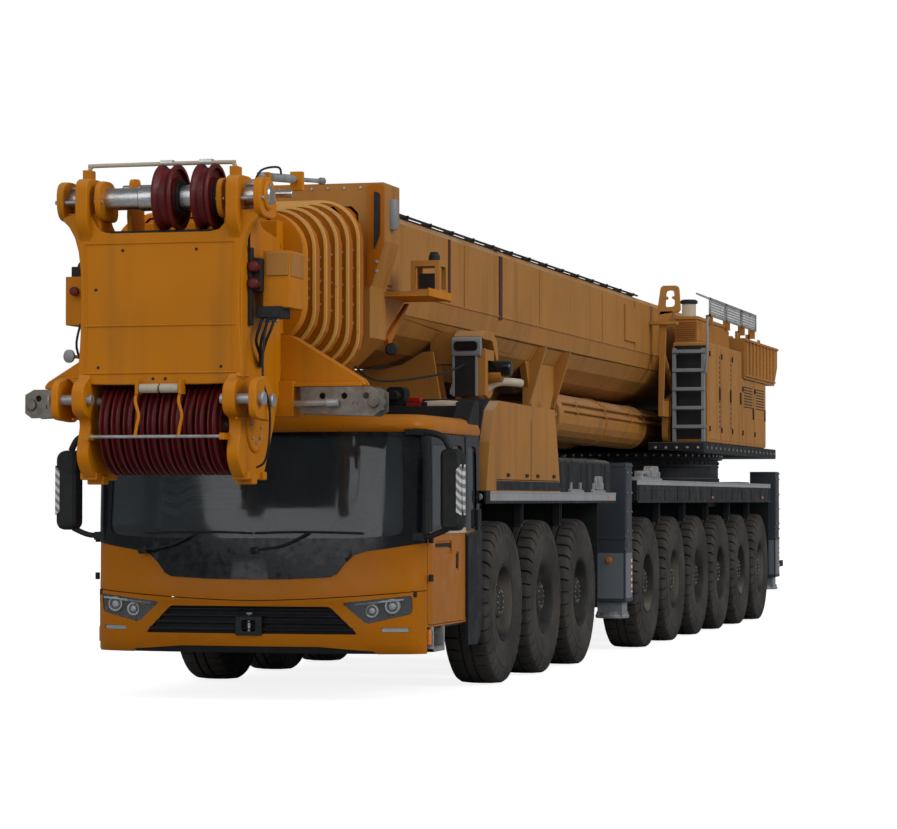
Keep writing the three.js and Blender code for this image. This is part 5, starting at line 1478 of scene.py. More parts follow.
def add_head():
    rear = 13.65
    tube = hollow_prism(boom_outline(HEAD_INSET), boom_outline(HEAD_INSET + SECTION_WALL),
        (-3.99, rear))
    piece("head_section_tube", tube, "boom_head", YELLOW, 0.004, replaces=["boom_head"])
    pads = hollow_prism(boom_outline(HEAD_INSET - 0.017), boom_outline(HEAD_INSET - 0.001),
        (rear - 0.26, rear))
    piece("head_section_pads", pads, "boom_head", MATT, 0)

    collar = Shape().prism("Y", rounded((-0.81, 0.81), (2.92, 3.99), 0.33, 10), (-3.99, -3.86))
    collar.box((-0.64, 0.64), (HEAD_BACK - 0.04, -3.97), (3.0, 3.9))
    collar.box((-0.64, 0.64), (HEAD_FRONT + 0.02, HEAD_BACK + 0.06), (2.63, 3.72))
    for sign in (1, -1):
        collar.prism("X", rounded_corners([(HEAD_BACK - 0.02, 2.62), (-3.9, 2.95), (-3.9, 3.9),
            (HEAD_BACK - 0.02, 3.74)], 0.05), on_side(sign, 0.5, 0.62))
    piece("head_box", collar, "boom_head", YELLOW, 0.016, angle=40)

    plate_right = [(0.36, 2.565), (0.6, 2.57), (0.665, 2.6), (0.668, 2.7), (0.655, 2.85), (0.645, 3.05),
        (0.643, 3.25), (0.65, 3.45), (0.668, 3.6), (0.7, 3.71), (0.745, 3.79), (0.79, 3.835),
        (0.8, 3.87), (0.62, 3.905), (0.555, 3.87), (0.525, 3.8), (0.48, 3.75), (0.4, 3.735)]
    outline = plate_right + [(-x, z) for x, z in reversed(plate_right)]
    plate = Shape().prism("Y", outline, (HEAD_FRONT - 0.035, HEAD_FRONT + 0.05))
    piece("head_front_plate", plate, "boom_head", YELLOW, 0.01)

    cheek = rounded_corners([(HEAD_FRONT - 0.13, 3.8), (HEAD_FRONT - 0.13, 4.16),
        (HEAD_FRONT + 0.26, 4.17), (HEAD_FRONT + 0.44, 3.8), (HEAD_BACK, 3.74), (HEAD_BACK, 2.62),
        (HEAD_BACK - 0.12, 2.35), (LOWER_SHAFT[0] + 0.4, 2.12), (LOWER_SHAFT[0] + 0.22, 1.84),
        (LOWER_SHAFT[0] - 0.22, 1.83), (LOWER_SHAFT[0] - 0.4, 2.0), (HEAD_FRONT, 2.3), (-5.245, 2.34),
        (-5.245, 2.56), (HEAD_FRONT - 0.01, 2.64), (HEAD_FRONT - 0.01, 3.66)], 0.11, 6)
    ear = rounded_corners([(UPPER_SHAFT[0] - 0.17, 3.84), (UPPER_SHAFT[0] - 0.19, 4.14),
        (UPPER_SHAFT[0] + 0.17, 4.16), (UPPER_SHAFT[0] + 0.26, 3.84)], 0.14, 7)
    low_ear = rounded_corners([(-5.245, 2.3), (-5.245, 2.58), (-4.98, 2.64), (-4.78, 2.5),
        (-4.8, 2.28)], 0.1, 6)
    shape = Shape()
    for sign in (1, -1):
        shape.prism("X", cheek, on_side(sign, *CHEEK))
        shape.prism("X", ear, on_side(sign, *EAR))
        shape.prism("X", ear, on_side(sign, 0.47, 0.52))
        shape.prism("X", low_ear, on_side(sign, *EAR))
        shape.box(on_side(sign, 0.645, 0.785), (HEAD_FRONT, HEAD_FRONT + 0.2), (3.85, 3.9))
        shape.box(on_side(sign, 0.5, 0.58), (HEAD_FRONT + 0.02, HEAD_FRONT + 0.2), (3.7, 3.9))
        shape.box(on_side(sign, 0.645, 0.785), (HEAD_FRONT - 0.05, HEAD_FRONT + 0.24), (2.42, 2.47))
        shape.box(on_side(sign, 0.54, 0.68), (LOWER_SHAFT[0] - 0.1, LOWER_SHAFT[0] + 0.02), (1.8, 1.87))
        for y in (LOWER_SHAFT[0] - 0.22, LOWER_SHAFT[0] + 0.14):
            shape.box(on_side(sign, 0.55, 0.69), (y, y + 0.09), (1.835, 1.9))
    piece("head_cheeks", shape, "boom_head", YELLOW, 0.012, angle=40)

    hubs = Shape()
    for sign in (1, -1):
        for reach, (y, z), radius in ((EAR[1], UPPER_SHAFT, 0.115), (CHEEK[1], LOWER_SHAFT, 0.2)):
            hubs.use(0).turned([(-0.03, radius), (0.01, radius), (0.022, radius - 0.014),
                (0.022, radius - 0.04), (0.012, radius - 0.05), (0.012, 0.002)], (sign * reach, y, z),
                (sign, 0, 0), 40)
            hubs.use(1).bolts([(sign * (reach + 0.012), y + 0.62 * radius * math.cos(a),
                z + 0.62 * radius * math.sin(a)) for a in (k * math.pi / 4 for k in range(8))],
                (sign, 0, 0), 0.014, 0.014)
        for y, z in ((-5.15, 2.45), (-4.92, 2.44)):
            hubs.use(1).bar((sign * 0.52, y, z), (sign * 0.865, y, z), 0.04, 24)
            hubs.bar((sign * 0.85, y, z), (sign * 0.875, y, z), 0.055, 24)
        for y, z in ((-5.1, 3.98), (-4.82, 3.98), (-4.96, 4.1)):
            hubs.bar((sign * 0.46, y, z), (sign * 0.53, y, z), 0.014, 12)
            hubs.bar((sign * 0.655, y, z), (sign * 0.85, y, z), 0.016, 12)
    piece("head_pins", hubs, "boom_head", [YELLOW, ZINC], 0.002, slot="bright_steel")

    weld = Shape()
    y = HEAD_FRONT - 0.037
    for z, half in ((2.655, 0.62), (3.655, 0.6), (3.02, 0.61)):
        weld.pipe([(-half, y, z), (0, y, z + 0.001), (half, y, z)], 0.007, 8, 2)
    for sign in (1, -1):
        weld.pipe([(sign * 0.6, y, 2.66), (sign * 0.595, y, 3.2), (sign * 0.61, y, 3.65)], 0.006, 8, 4)
        for z in (2.3, 2.62):
            weld.pipe([(sign * 0.664, -5.2, z), (sign * 0.664, -4.9, z + 0.01)], 0.007, 8, 2)
    piece("head_welds", weld, "boom_head", YELLOW, 0)
    dark = Shape()
    for px, pz in ((-0.5, 2.7), (0.5, 2.7), (-0.3, 3.6), (0.3, 3.6), (-0.52, 3.3), (0.05, 2.61),
            (-0.05, 2.61)):
        dark.bar((px, y + 0.004, pz), (px, y - 0.002, pz), 0.012, 16)
    dark.box((-0.44, 0.46), (HEAD_FRONT + 0.05, HEAD_FRONT + 0.3), (3.7, 3.76))
    piece("head_holes", dark, "boom_head", MATT, 0)

    guard = Shape()
    guard.use(0).pipe([(-0.62, -4.98, 4.225), (-0.6, -4.98, 4.262), (-0.53, -4.98, 4.272),
        (0.48, -4.98, 4.272), (0.56, -4.98, 4.262), (0.58, -4.98, 4.225)], 0.017, 12, 3)
    guard.use(1)
    for px in (-0.62, 0.58):
        guard.box((px - 0.03, px + 0.03), (-5.04, -4.92), (4.12, 4.235))
    for px in (-0.36, -0.14, 0.2, 0.5):
        guard.prism("X", rounded_corners([(-4.76, 3.7), (-4.8, 3.9), (-4.74, 4.19), (-4.6, 4.2),
            (-4.5, 3.95), (-4.5, 3.7)], 0.04), (px - 0.018, px + 0.018))
    guard.use(2).bar((-0.46, -4.66, 4.12), (-0.12, -4.66, 4.12), 0.03, 20)
    guard.bar((0.18, -4.66, 4.14), (0.72, -4.66, 4.14), 0.032, 20)
    guard.bar((0.66, -4.55, 4.06), (0.9, -4.55, 4.06), 0.03, 20)
    for px, pz in ((0.02, 4.3), (0.34, 4.3)):
        guard.box((px - 0.05, px + 0.05), (-5.0, -4.94), (pz - 0.025, pz))
    piece("head_guard", guard, "boom_head", [BEIGE, YELLOW, STEEL], 0.004, slot="crane_yellow")

    roller = Shape()
    for x0, x1 in ((-0.145, 0.012), (0.022, 0.18)):
        roller.use(0).turned([(0, 0.022), (0.006, 0.036), (x1 - x0 - 0.006, 0.036), (x1 - x0, 0.022)],
            (x0, -5.125, 2.535), (1, 0, 0), 28)
    roller.use(1)
    for px in (-0.158, 0.193):
        roller.box((px - 0.012, px + 0.012), (-5.16, -5.06), (2.49, 2.6))
    roller.use(2)
    roller.bar((-0.545, -5.185, 2.165), (0.545, -5.185, 2.165), 0.013, 12)
    roller.use(1)
    for px in (-0.158, 0.193):
        roller.pipe([(px, -5.12, 2.52), (px - 0.012, -5.15, 2.44), (px + 0.022, -5.17, 2.33),
            (px + 0.01, -5.18, 2.24), (px, -5.185, 2.165)], 0.013, 10)
    for sign in (1, -1):
        roller.box(on_side(sign, 0.53, 0.57), (-5.21, -5.0), (2.14, 2.19))
    piece("rope_guards", roller, "boom_head", [BEIGE, YELLOW, ZINC], 0.003, slot="crane_yellow")

    arms = Shape()
    for sign in (1, -1):
        gusset = [(0.62, 2.58), (1.36, 2.58), (1.33, 2.63), (0.74, 2.985), (0.62, 2.985)]
        arms.prism("Y", rounded_corners(flipped(sign, gusset), 0.03), (-4.1, -4.04))
        arms.prism("Y", rounded_corners(flipped(sign, gusset), 0.03), (-3.99, -3.95))
        arms.box(on_side(sign, 0.62, 1.33), (-4.14, -3.92), (2.575, 2.605))
        arms.box(on_side(sign, 0.6, 0.78), (-4.16, -3.9), (2.34, 2.62))
        for k, y in enumerate((-4.155, -3.945)):
            blade = Shape().prism("Y", flipped(sign, ((0.84, 2.36), (1.44, 2.34), (1.496, 2.38),
                (1.496, 2.53), (1.42, 2.572), (0.84, 2.572))), (y, y + 0.028))
            holes = [("-", Shape().bar((sign * a, y - 0.05, b), (sign * a, y + 0.08, b), 0.026, 16))
                for a, b in ((0.93, 2.43), (1.02, 2.5), (1.11, 2.43), (1.2, 2.5), (1.29, 2.43),
                (1.38, 2.5), (1.45, 2.42))]
            side = "left" if sign > 0 else "right"
            piece(f"arm_blade_{side}_{k + 1}", carve(blade, *holes), "boom_head", WORN, 0.003)
        block = Shape()
        for px in (0.88, 1.06, 1.24, 1.4):
            block.box(on_side(sign, px, px + 0.07), (-4.15, -3.92), (2.39, 2.55))
        block.bar((sign * 1.44, -4.18, 2.45), (sign * 1.44, -3.9, 2.45), 0.045, 20)
        piece(f"arm_block_{'left' if sign > 0 else 'right'}", block, "boom_head", WORN, 0.006)
    piece("head_arms", arms, "boom_head", YELLOW, 0.006)


def add_head_parts():
    sheaves = Shape()
    count = 10
    reach = 0.4885
    pitch = 2 * reach / count
    profile = [(-reach, 0.002), (-reach, 0.3)]
    for i in range(count):
        start = -reach + i * pitch
        profile += [(start + 0.1 * pitch, 0.366), (start + 0.16 * pitch, 0.374),
            (start + 0.26 * pitch, 0.372), (start + 0.42 * pitch, 0.338), (start + 0.54 * pitch, 0.336),
            (start + 0.7 * pitch, 0.372), (start + 0.8 * pitch, 0.374), (start + 0.86 * pitch, 0.366),
            (start + 0.9 * pitch, 0.3), (start + 0.99 * pitch, 0.3)]
    profile += [(reach, 0.3), (reach, 0.002)]
    sheaves.use(0).turned(profile, (0, LOWER_SHAFT[0], LOWER_SHAFT[1]), (1, 0, 0), 72)
    sheaves.use(1).bar((-0.555, LOWER_SHAFT[0], LOWER_SHAFT[1]),
        (0.555, LOWER_SHAFT[0], LOWER_SHAFT[1]), 0.09, 32)
    piece("lower_sheave_pack", sheaves, "lower_sheaves", [RED, STEEL], 0, replaces=["lower_sheaves"])

    upper = Shape()
    for middle, half in ((0.05, 0.078), (0.36, 0.072)):
        upper.use(0).turned([(-half, 0.1), (-half, 0.15), (-half + 0.03, 0.155), (-half + 0.03, 0.215),
            (-half, 0.222), (-half, 0.25), (-half + 0.01, 0.2585), (-half + 0.022, 0.2585),
            (-0.022, 0.226), (0.022, 0.226), (half - 0.022, 0.2585), (half - 0.01, 0.2585),
            (half, 0.25), (half, 0.222), (half - 0.03, 0.215), (half - 0.03, 0.155), (half, 0.15),
            (half, 0.1)], (middle, UPPER_SHAFT[0], UPPER_SHAFT[1]), (1, 0, 0), 72)
        for sign in (1, -1):
            upper.use(2).turned([(0, 0.14), (0.006, 0.142), (0.022, 0.138), (0.024, 0.085)],
                (middle + sign * half, UPPER_SHAFT[0], UPPER_SHAFT[1]), (sign, 0, 0), 40)
    y, z = UPPER_SHAFT[0], UPPER_SHAFT[1]
    upper.use(1).turned([(-0.865, 0.002), (-0.865, 0.062), (-0.855, 0.072), (-0.6, 0.075),
        (-0.52, 0.086), (-0.2, 0.086), (-0.19, 0.098), (-0.05, 0.098), (0.45, 0.098), (0.46, 0.086),
        (0.55, 0.075), (0.855, 0.072), (0.865, 0.062), (0.865, 0.002)], (0, y, z), (1, 0, 0), 48)
    piece("upper_sheave_pair", upper, "upper_sheaves", [RED, STEEL, MATT], 0,
        replaces=["upper_sheaves"])

    boxes = Shape()
    boxes.use(0).box((0.74, 0.955), (-4.8, -4.42), (3.16, 3.6))
    boxes.use(1).box((0.765, 0.945), (-4.815, -4.795), (3.405, 3.585))
    boxes.box((0.93, 0.962), (-4.78, -4.44), (3.4, 3.59))
    boxes.use(2)
    for pz in (3.34, 3.47):
        boxes.turned([(0, 0.03), (0.02, 0.042), (0.08, 0.046), (0.1, 0.036), (0.102, 0.002)],
            (0.705, -4.86, pz), (0, -1, 0), 28)
    boxes.use(3).prism("Y", rounded((0.655, 0.69), (3.02, 3.62), 0.012), (-4.93, -4.86))
    boxes.box((0.66, 0.75), (-4.88, -4.7), (3.28, 3.54))
    boxes.box((0.7, 0.9), (-4.84, -4.6), (3.08, 3.17))
    boxes.use(0).box((-0.835, -0.655), (-4.93, -4.59), (3.04, 3.42))
    boxes.use(3).box((-0.8, -0.66), (-4.9, -4.62), (3.42, 3.5))
    boxes.use(2)
    for px, py, pz in ((-0.74, -4.95, 3.3), (-0.7, -4.88, 3.5)):
        boxes.turned([(0, 0.025), (0.015, 0.036), (0.05, 0.036), (0.06, 0.026), (0.062, 0.002)],
            (px, py, pz), (0, -1, 0), 24)
    piece("head_boxes", boxes, "boom_head", [YELLOW, YELLOW_DUSTY, RED, MATT], 0.008)

    hoses = Shape()
    hoses.use(0)
    for k in range(3):
        x0 = 0.75 + 0.05 * k
        hoses.pipe([(x0, -4.79, 3.13), (x0 - 0.02, -4.86, 3.0), (x0 - 0.05 - 0.01 * k, -4.84, 2.9),
            (0.7, -4.74, 2.8 - 0.03 * k), (0.67, -4.6, 2.72)], 0.012, 8)
    hoses.pipe([(0.8, -4.82, 3.1), (0.81, -4.98, 2.9), (0.815, -5.02, 2.6), (0.86, -5.0, 2.4),
        (0.85, -4.97, 2.15), (0.8, -4.92, 1.98), (0.72, -4.88, 1.93)], 0.009, 8)
    hoses.pipe([(0.672, -4.93, 3.6), (0.69, -4.98, 3.72), (0.7, -4.97, 3.86)], 0.01, 8)
    hoses.pipe([(-0.7, -4.95, 3.05), (-0.72, -4.98, 2.86), (-0.7, -4.8, 2.66)], 0.01, 8)
    hoses.use(1)
    for k in range(3):
        x0 = 0.75 + 0.05 * k
        hoses.bar((x0, -4.785, 3.1), (x0, -4.8, 3.05), 0.017, 12)
    hoses.turned([(0, 0.03), (0.01, 0.052), (0.03, 0.052), (0.035, 0.04), (0.036, 0.002)],
        (-0.8, -4.9, 2.8), (-0.3, -1, 0), 28)
    hoses.bar((-0.79, -4.88, 2.8), (-0.65, -4.8, 2.78), 0.014, 10)
    hoses.turned([(0, 0.018), (0.01, 0.024), (0.26, 0.024), (0.27, 0.032), (0.36, 0.032),
        (0.37, 0.002)], (0.8, -4.2, 2.44), (1, 0, 0.02), 24)
    hoses.turned([(0, 0.02), (0.01, 0.034), (0.52, 0.034), (0.53, 0.018), (0.98, 0.018), (0.99, 0.03),
        (1.03, 0.03), (1.04, 0.002)], (0.6, -4.45, 4.215), (0.2, 1.0, 0.06), 24)
    hoses.use(2)
    for px, station, pz in ((0.615, -4.4, 4.1), (0.715, -3.86, 4.16)):
        hoses.box((px - 0.05, px + 0.05), (station - 0.03, station + 0.03), (pz, pz + 0.15))
    hoses.use(0).pipe([(0.66, -4.1, 4.255), (0.7, -4.3, 4.3), (0.64, -4.55, 4.25), (0.6, -4.62, 4.12)],
        0.009, 8)
    piece("head_hoses", hoses, "boom_head", [MATT, ZINC, YELLOW], 0.001)


def ram_point(x, distance):
    run = Vector((0, LUFF_EYE[0] - LUFF_FOOT[0], LUFF_EYE[1] - LUFF_FOOT[1])).normalized()
    return Vector((x, LUFF_FOOT[0], LUFF_FOOT[1])) + run * distance


def add_rams():
    dress(["luffing_barrels"], YELLOW_DUSTY, 0.008)
    dress(["luffing_rod_left", "luffing_rod_right"], STEEL, 0.004)
    length = LUFF_FOOT[0] - 5.9
    gland = Shape()
    for x in (RAM_X, -RAM_X):
        axis = (ram_point(x, 1) - ram_point(x, 0)).normalized()
        gland.use(0).turned([(-0.165, 0.29), (-0.16, 0.306), (-0.02, 0.306), (-0.01, 0.296),
            (0.004, 0.29), (0.004, 0.2), (0.02, 0.195), (0.02, 0.174)], ram_point(x, length), axis, 56)
        gland.turned([(0, 0.276), (0.004, 0.286), (0.05, 0.286), (0.054, 0.276)], ram_point(x, 2.2),
            axis, 56)
        gland.turned([(0, 0.276), (0.004, 0.286), (0.05, 0.286), (0.054, 0.276)], ram_point(x, 4.6),
            axis, 56)
        side = Vector((1, 0, 0))
        other = axis.cross(side)
        gland.use(1).bolts([ram_point(x, length + 0.004)
            + 0.245 * (math.cos(a) * side + math.sin(a) * other)
            for a in (2 * math.pi * k / 16 for k in range(16))], axis, 0.018, 0.018)
        sign = 1 if x > 0 else -1
        for lift in (0.0, 0.09):
            start, end = ram_point(x, 0.7), ram_point(x, length - 0.3)
            off = Vector((sign * (0.285 - 0.02 * (lift > 0)), 0, 0.06 + lift))
            gland.use(0).pipe([start + off * 0.8, start + off + axis * 0.25, (start + end) / 2 + off,
                end + off, end + off * 0.86 + axis * 0.14], 0.018, 10, 4)
            for share in (0.15, 0.4, 0.65, 0.9):
                p = start.lerp(end, share) + off
                gland.box(sorted((p.x - sign * 0.05, p.x + sign * 0.022)), (p.y - 0.03, p.y + 0.03),
                    (p.z - 0.025, p.z + 0.025))
    piece("ram_glands", gland, "luffing_barrels", [YELLOW_DUSTY, ZINC], 0.002)


add_boom_base()
add_sections()
add_head()
add_head_parts()
add_rams()


# ------------------------------------------------------------------ superstructure

PLATFORM = (2.28, 2.42)
PLATFORM_SPAN = (10.9, 17.0)
CONSOLE_FRONT = 8.6
CHEEK_PLATE = (0.87, 0.95)
CHEEK_FRONT = 10.96
HOUSE = (11.1, 15.9)
HOUSE_STEP = 13.75
HOUSE_X = (0.99, 1.45)
HOUSE_HIGH = 3.7
HOUSE_LOW = 3.34
LADDER_X = (1.01, 1.43)
LADDER_Y = (10.97, 11.01)
LADDER_TOP = 3.62
WINCH = (16.56, 2.96)
OPERATOR_X = (-1.465, -0.835)
OPERATOR_TOP = 3.95
OPERATOR_DOOR = {"y": (8.78, 9.5), "z": (2.5, 3.86)}


def add_turntable():
    base = Shape()
    base.box((-1.43, 1.43), PLATFORM_SPAN, PLATFORM)
    base.box((-1.43, -0.775), (CONSOLE_FRONT, PLATFORM_SPAN[0] - 0.002), PLATFORM)
    wells = Shape().box((-0.7, 0.7), (PLATFORM_SPAN[0] - 0.05, 13.44), (2.3, 2.5))
    piece("slew_platform", carve(base, ("-", wells)), "superstructure", BLACK, 0.012,
        replaces=["turntable"])
    turn = Shape().turned([(2.2055, 1.0), (2.2055, 1.352), (2.215, 1.358), (2.238, 1.358),
        (2.245, 1.345), (2.278, 1.345), (2.278, 1.0)], (0, SLEW, 0), (0, 0, 1), 96)
    piece("slew_ring_upper", turn, "superstructure", BLACK, 0.002)
    bolts = Shape()
    fixed = Shape()
    for k in range(72):
        a = 2 * math.pi * k / 72
        c, s = math.cos(a), math.sin(a)
        bolts.bolts([(1.352 * c, SLEW + 1.352 * s, 2.262)], (c, s, 0), 0.018, 0.016)
        fixed.bolts([(1.298 * c, SLEW + 1.298 * s, 2.165)], (c, s, 0), 0.018, 0.018)
    piece("slew_bolts_upper", bolts, "superstructure", ZINC, 0)
    fixed.turned([(1.91, 1.22), (1.91, 1.318), (1.96, 1.318), (1.97, 1.302), (2.1, 1.302), (2.11, 1.31),
        (2.13, 1.31), (2.14, 1.302), (2.202, 1.302), (2.202, 1.2)], (0, SLEW, 0), (0, 0, 1), 96)
    piece("slew_ring_fixed", fixed, "carrier", BLACK, 0.001)

    cheeks = Shape()
    outline = rounded_corners([(CHEEK_FRONT, PLATFORM[1] - 0.01), (16.3, PLATFORM[1] - 0.01),
        (16.15, 3.5), (15.95, 4.0), (15.25, 4.0), (14.3, 3.5), (CHEEK_FRONT, 2.95)], 0.16, 6)
    for sign in (1, -1):
        cheeks.prism("X", outline, on_side(sign, *CHEEK_PLATE))
        for y in (11.6, 12.5, 13.4, 14.3, 16.0):
            cheeks.box(on_side(sign, CHEEK_PLATE[1] - 0.01, 0.985), (y, y + 0.03), (PLATFORM[1], 2.9))
        cheeks.turned([(0, 0.24), (0.012, 0.25), (0.03, 0.25), (0.04, 0.23), (0.04, 0.002)],
            (sign * CHEEK_PLATE[1], 15.6, 3.72), (sign, 0, 0), 48)
        foot = (LUFF_FOOT[0] - 0.18, LUFF_FOOT[0] + 0.27)
        cheeks.prism("X", rounded_corners([(foot[0], 2.29), (foot[1], 2.29), (foot[1], 2.6),
            (foot[1] - 0.12, 2.785), (foot[0] + 0.1, 2.785), (foot[0], 2.62)], 0.06),
            on_side(sign, 0.6205, 0.7305))
        cheeks.box(on_side(sign, 0.3805, 0.45), (WINCH[0] - 0.16, WINCH[0] + 0.16),
            (PLATFORM[1] - 0.01, WINCH[1] + 0.17))
        cheeks.box(on_side(sign, 0.3805, 0.6), (WINCH[0] - 0.2, WINCH[0] + 0.2),
            (PLATFORM[1], PLATFORM[1] + 0.03))
    foot = (LUFF_FOOT[0] - 0.18, LUFF_FOOT[0] + 0.27)
    cheeks.prism("X", rounded_corners([(foot[0], 2.29), (foot[1], 2.29), (foot[1], 2.6),
        (foot[1] - 0.12, 2.785), (foot[0] + 0.1, 2.785), (foot[0], 2.62)], 0.06), (-0.1395, 0.1395))
    piece("turntable_cheeks", cheeks, "superstructure", YELLOW_DUSTY, 0.01, angle=40)
    pin = Shape().turned([(-0.79, 0.002), (-0.79, 0.085), (-0.775, 0.098), (0.775, 0.098),
        (0.79, 0.085), (0.79, 0.002)], (0, LUFF_FOOT[0], LUFF_FOOT[1]), (1, 0, 0), 40)
    piece("luff_foot_pin", pin, "superstructure", STEEL, 0)

    guide = Shape()
    g = CHEEK_PLATE[1] - 0.045
    y = (10.555, 10.625)
    head = Shape().prism("Y", rounded_corners([(g - 0.02, 4.02), (g + 0.285, 4.06), (g + 0.262, 4.395),
        (g + 0.035, 4.395)], 0.05), y)
    window = Shape().prism("Y", rounded_corners([(g + 0.085, 4.12), (g + 0.215, 4.13),
        (g + 0.205, 4.335), (g + 0.1, 4.335)], 0.04), (y[0] - 0.1, y[1] + 0.1))
    piece("rope_guide_head", carve(head, ("-", window)), "superstructure", YELLOW_DUSTY, 0.008)
    guide.prism("Y", rounded_corners([(g, 2.9), (g + 0.06, 2.9), (g + 0.1, 3.9), (g + 0.2, 4.07),
        (g + 0.02, 4.07)], 0.03), y)
    guide.box((g, g + 0.06), (10.56, CHEEK_FRONT + 0.2), (2.74, 2.94))
    guide.bar((g + 0.03, 10.6, 3.62), (g + 0.03, 11.4, 3.1), 0.035, 16)
    guide.box((g - 0.1, g + 0.24), (10.5, 10.68), (3.9, 3.94))
    for px in (g + 0.1, g + 0.2):
        guide.bar((px, 10.54, 4.24), (px, 10.64, 4.24), 0.02, 16)
    piece("rope_guide_arm", guide, "superstructure", YELLOW_DUSTY, 0.006)

    cabinet = Shape().box((-1.45, -0.99), HOUSE, (PLATFORM[1] - 0.01, HOUSE_LOW))
    piece("right_cabinet", cabinet, "superstructure", YELLOW_DUSTY, 0.03)
    doors = Shape()
    for y in spread(HOUSE[0] + 0.05, HOUSE[1] - 1.25, 4):
        doors.use(0).box((-1.456, -1.45), (y, y + 1.12), (2.47, 3.29))
        doors.use(1).box((-1.468, -1.455), (y + 0.98, y + 1.04), (2.8, 2.95))
        for z in spread(2.6, 2.74, 4):
            doors.box((-1.462, -1.455), (y + 0.2, y + 0.8), (z, z + 0.014))
    piece("cabinet_doors", doors, "superstructure", [YELLOW_DUSTY, MATT], 0.004)
    rails = Shape()
    for y in spread(PLATFORM_SPAN[0] + 0.2, PLATFORM_SPAN[1] - 0.2, 18):
        for sign in (1, -1):
            rails.bolts([(sign * 1.43, y, 2.35)], (sign, 0, 0), 0.018, 0.014)
    rails.bolts([(px, PLATFORM_SPAN[0], 2.35) for px in spread(0.8, 1.35, 5)], (0, -1, 0), 0.018, 0.014)
    piece("platform_bolts", rails, "superstructure", ZINC, 0)


def add_winch():
    profile = [(-0.38, 0.07), (-0.38, 0.325), (-0.372, 0.338), (-0.35, 0.338), (-0.345, 0.325),
        (-0.345, 0.296)]
    turns = 22
    for i in range(turns):
        x = -0.345 + 0.69 * (i + 0.5) / turns
        profile += [(x - 0.012, 0.297), (x, 0.3085), (x + 0.012, 0.297)]
    profile += [(0.345, 0.296), (0.345, 0.325), (0.35, 0.338), (0.372, 0.338), (0.38, 0.325),
        (0.38, 0.07)]
    drum = Shape().turned(profile, (0, WINCH[0], WINCH[1]), (1, 0, 0), 64)
    drum.use(1).bar((-0.44, WINCH[0], WINCH[1]), (0.44, WINCH[0], WINCH[1]), 0.069, 28)
    for sign in (1, -1):
        drum.bolts([(sign * 0.38, WINCH[0] + 0.27 * math.cos(a), WINCH[1] + 0.27 * math.sin(a))
            for a in (2 * math.pi * k / 12 for k in range(12))], (sign, 0, 0), 0.014, 0.0004)
    piece("winch_drum", drum, "hoist_winch", [ROPE, STEEL], 0, replaces=["hoist_winch"],
        slot="bright_steel")


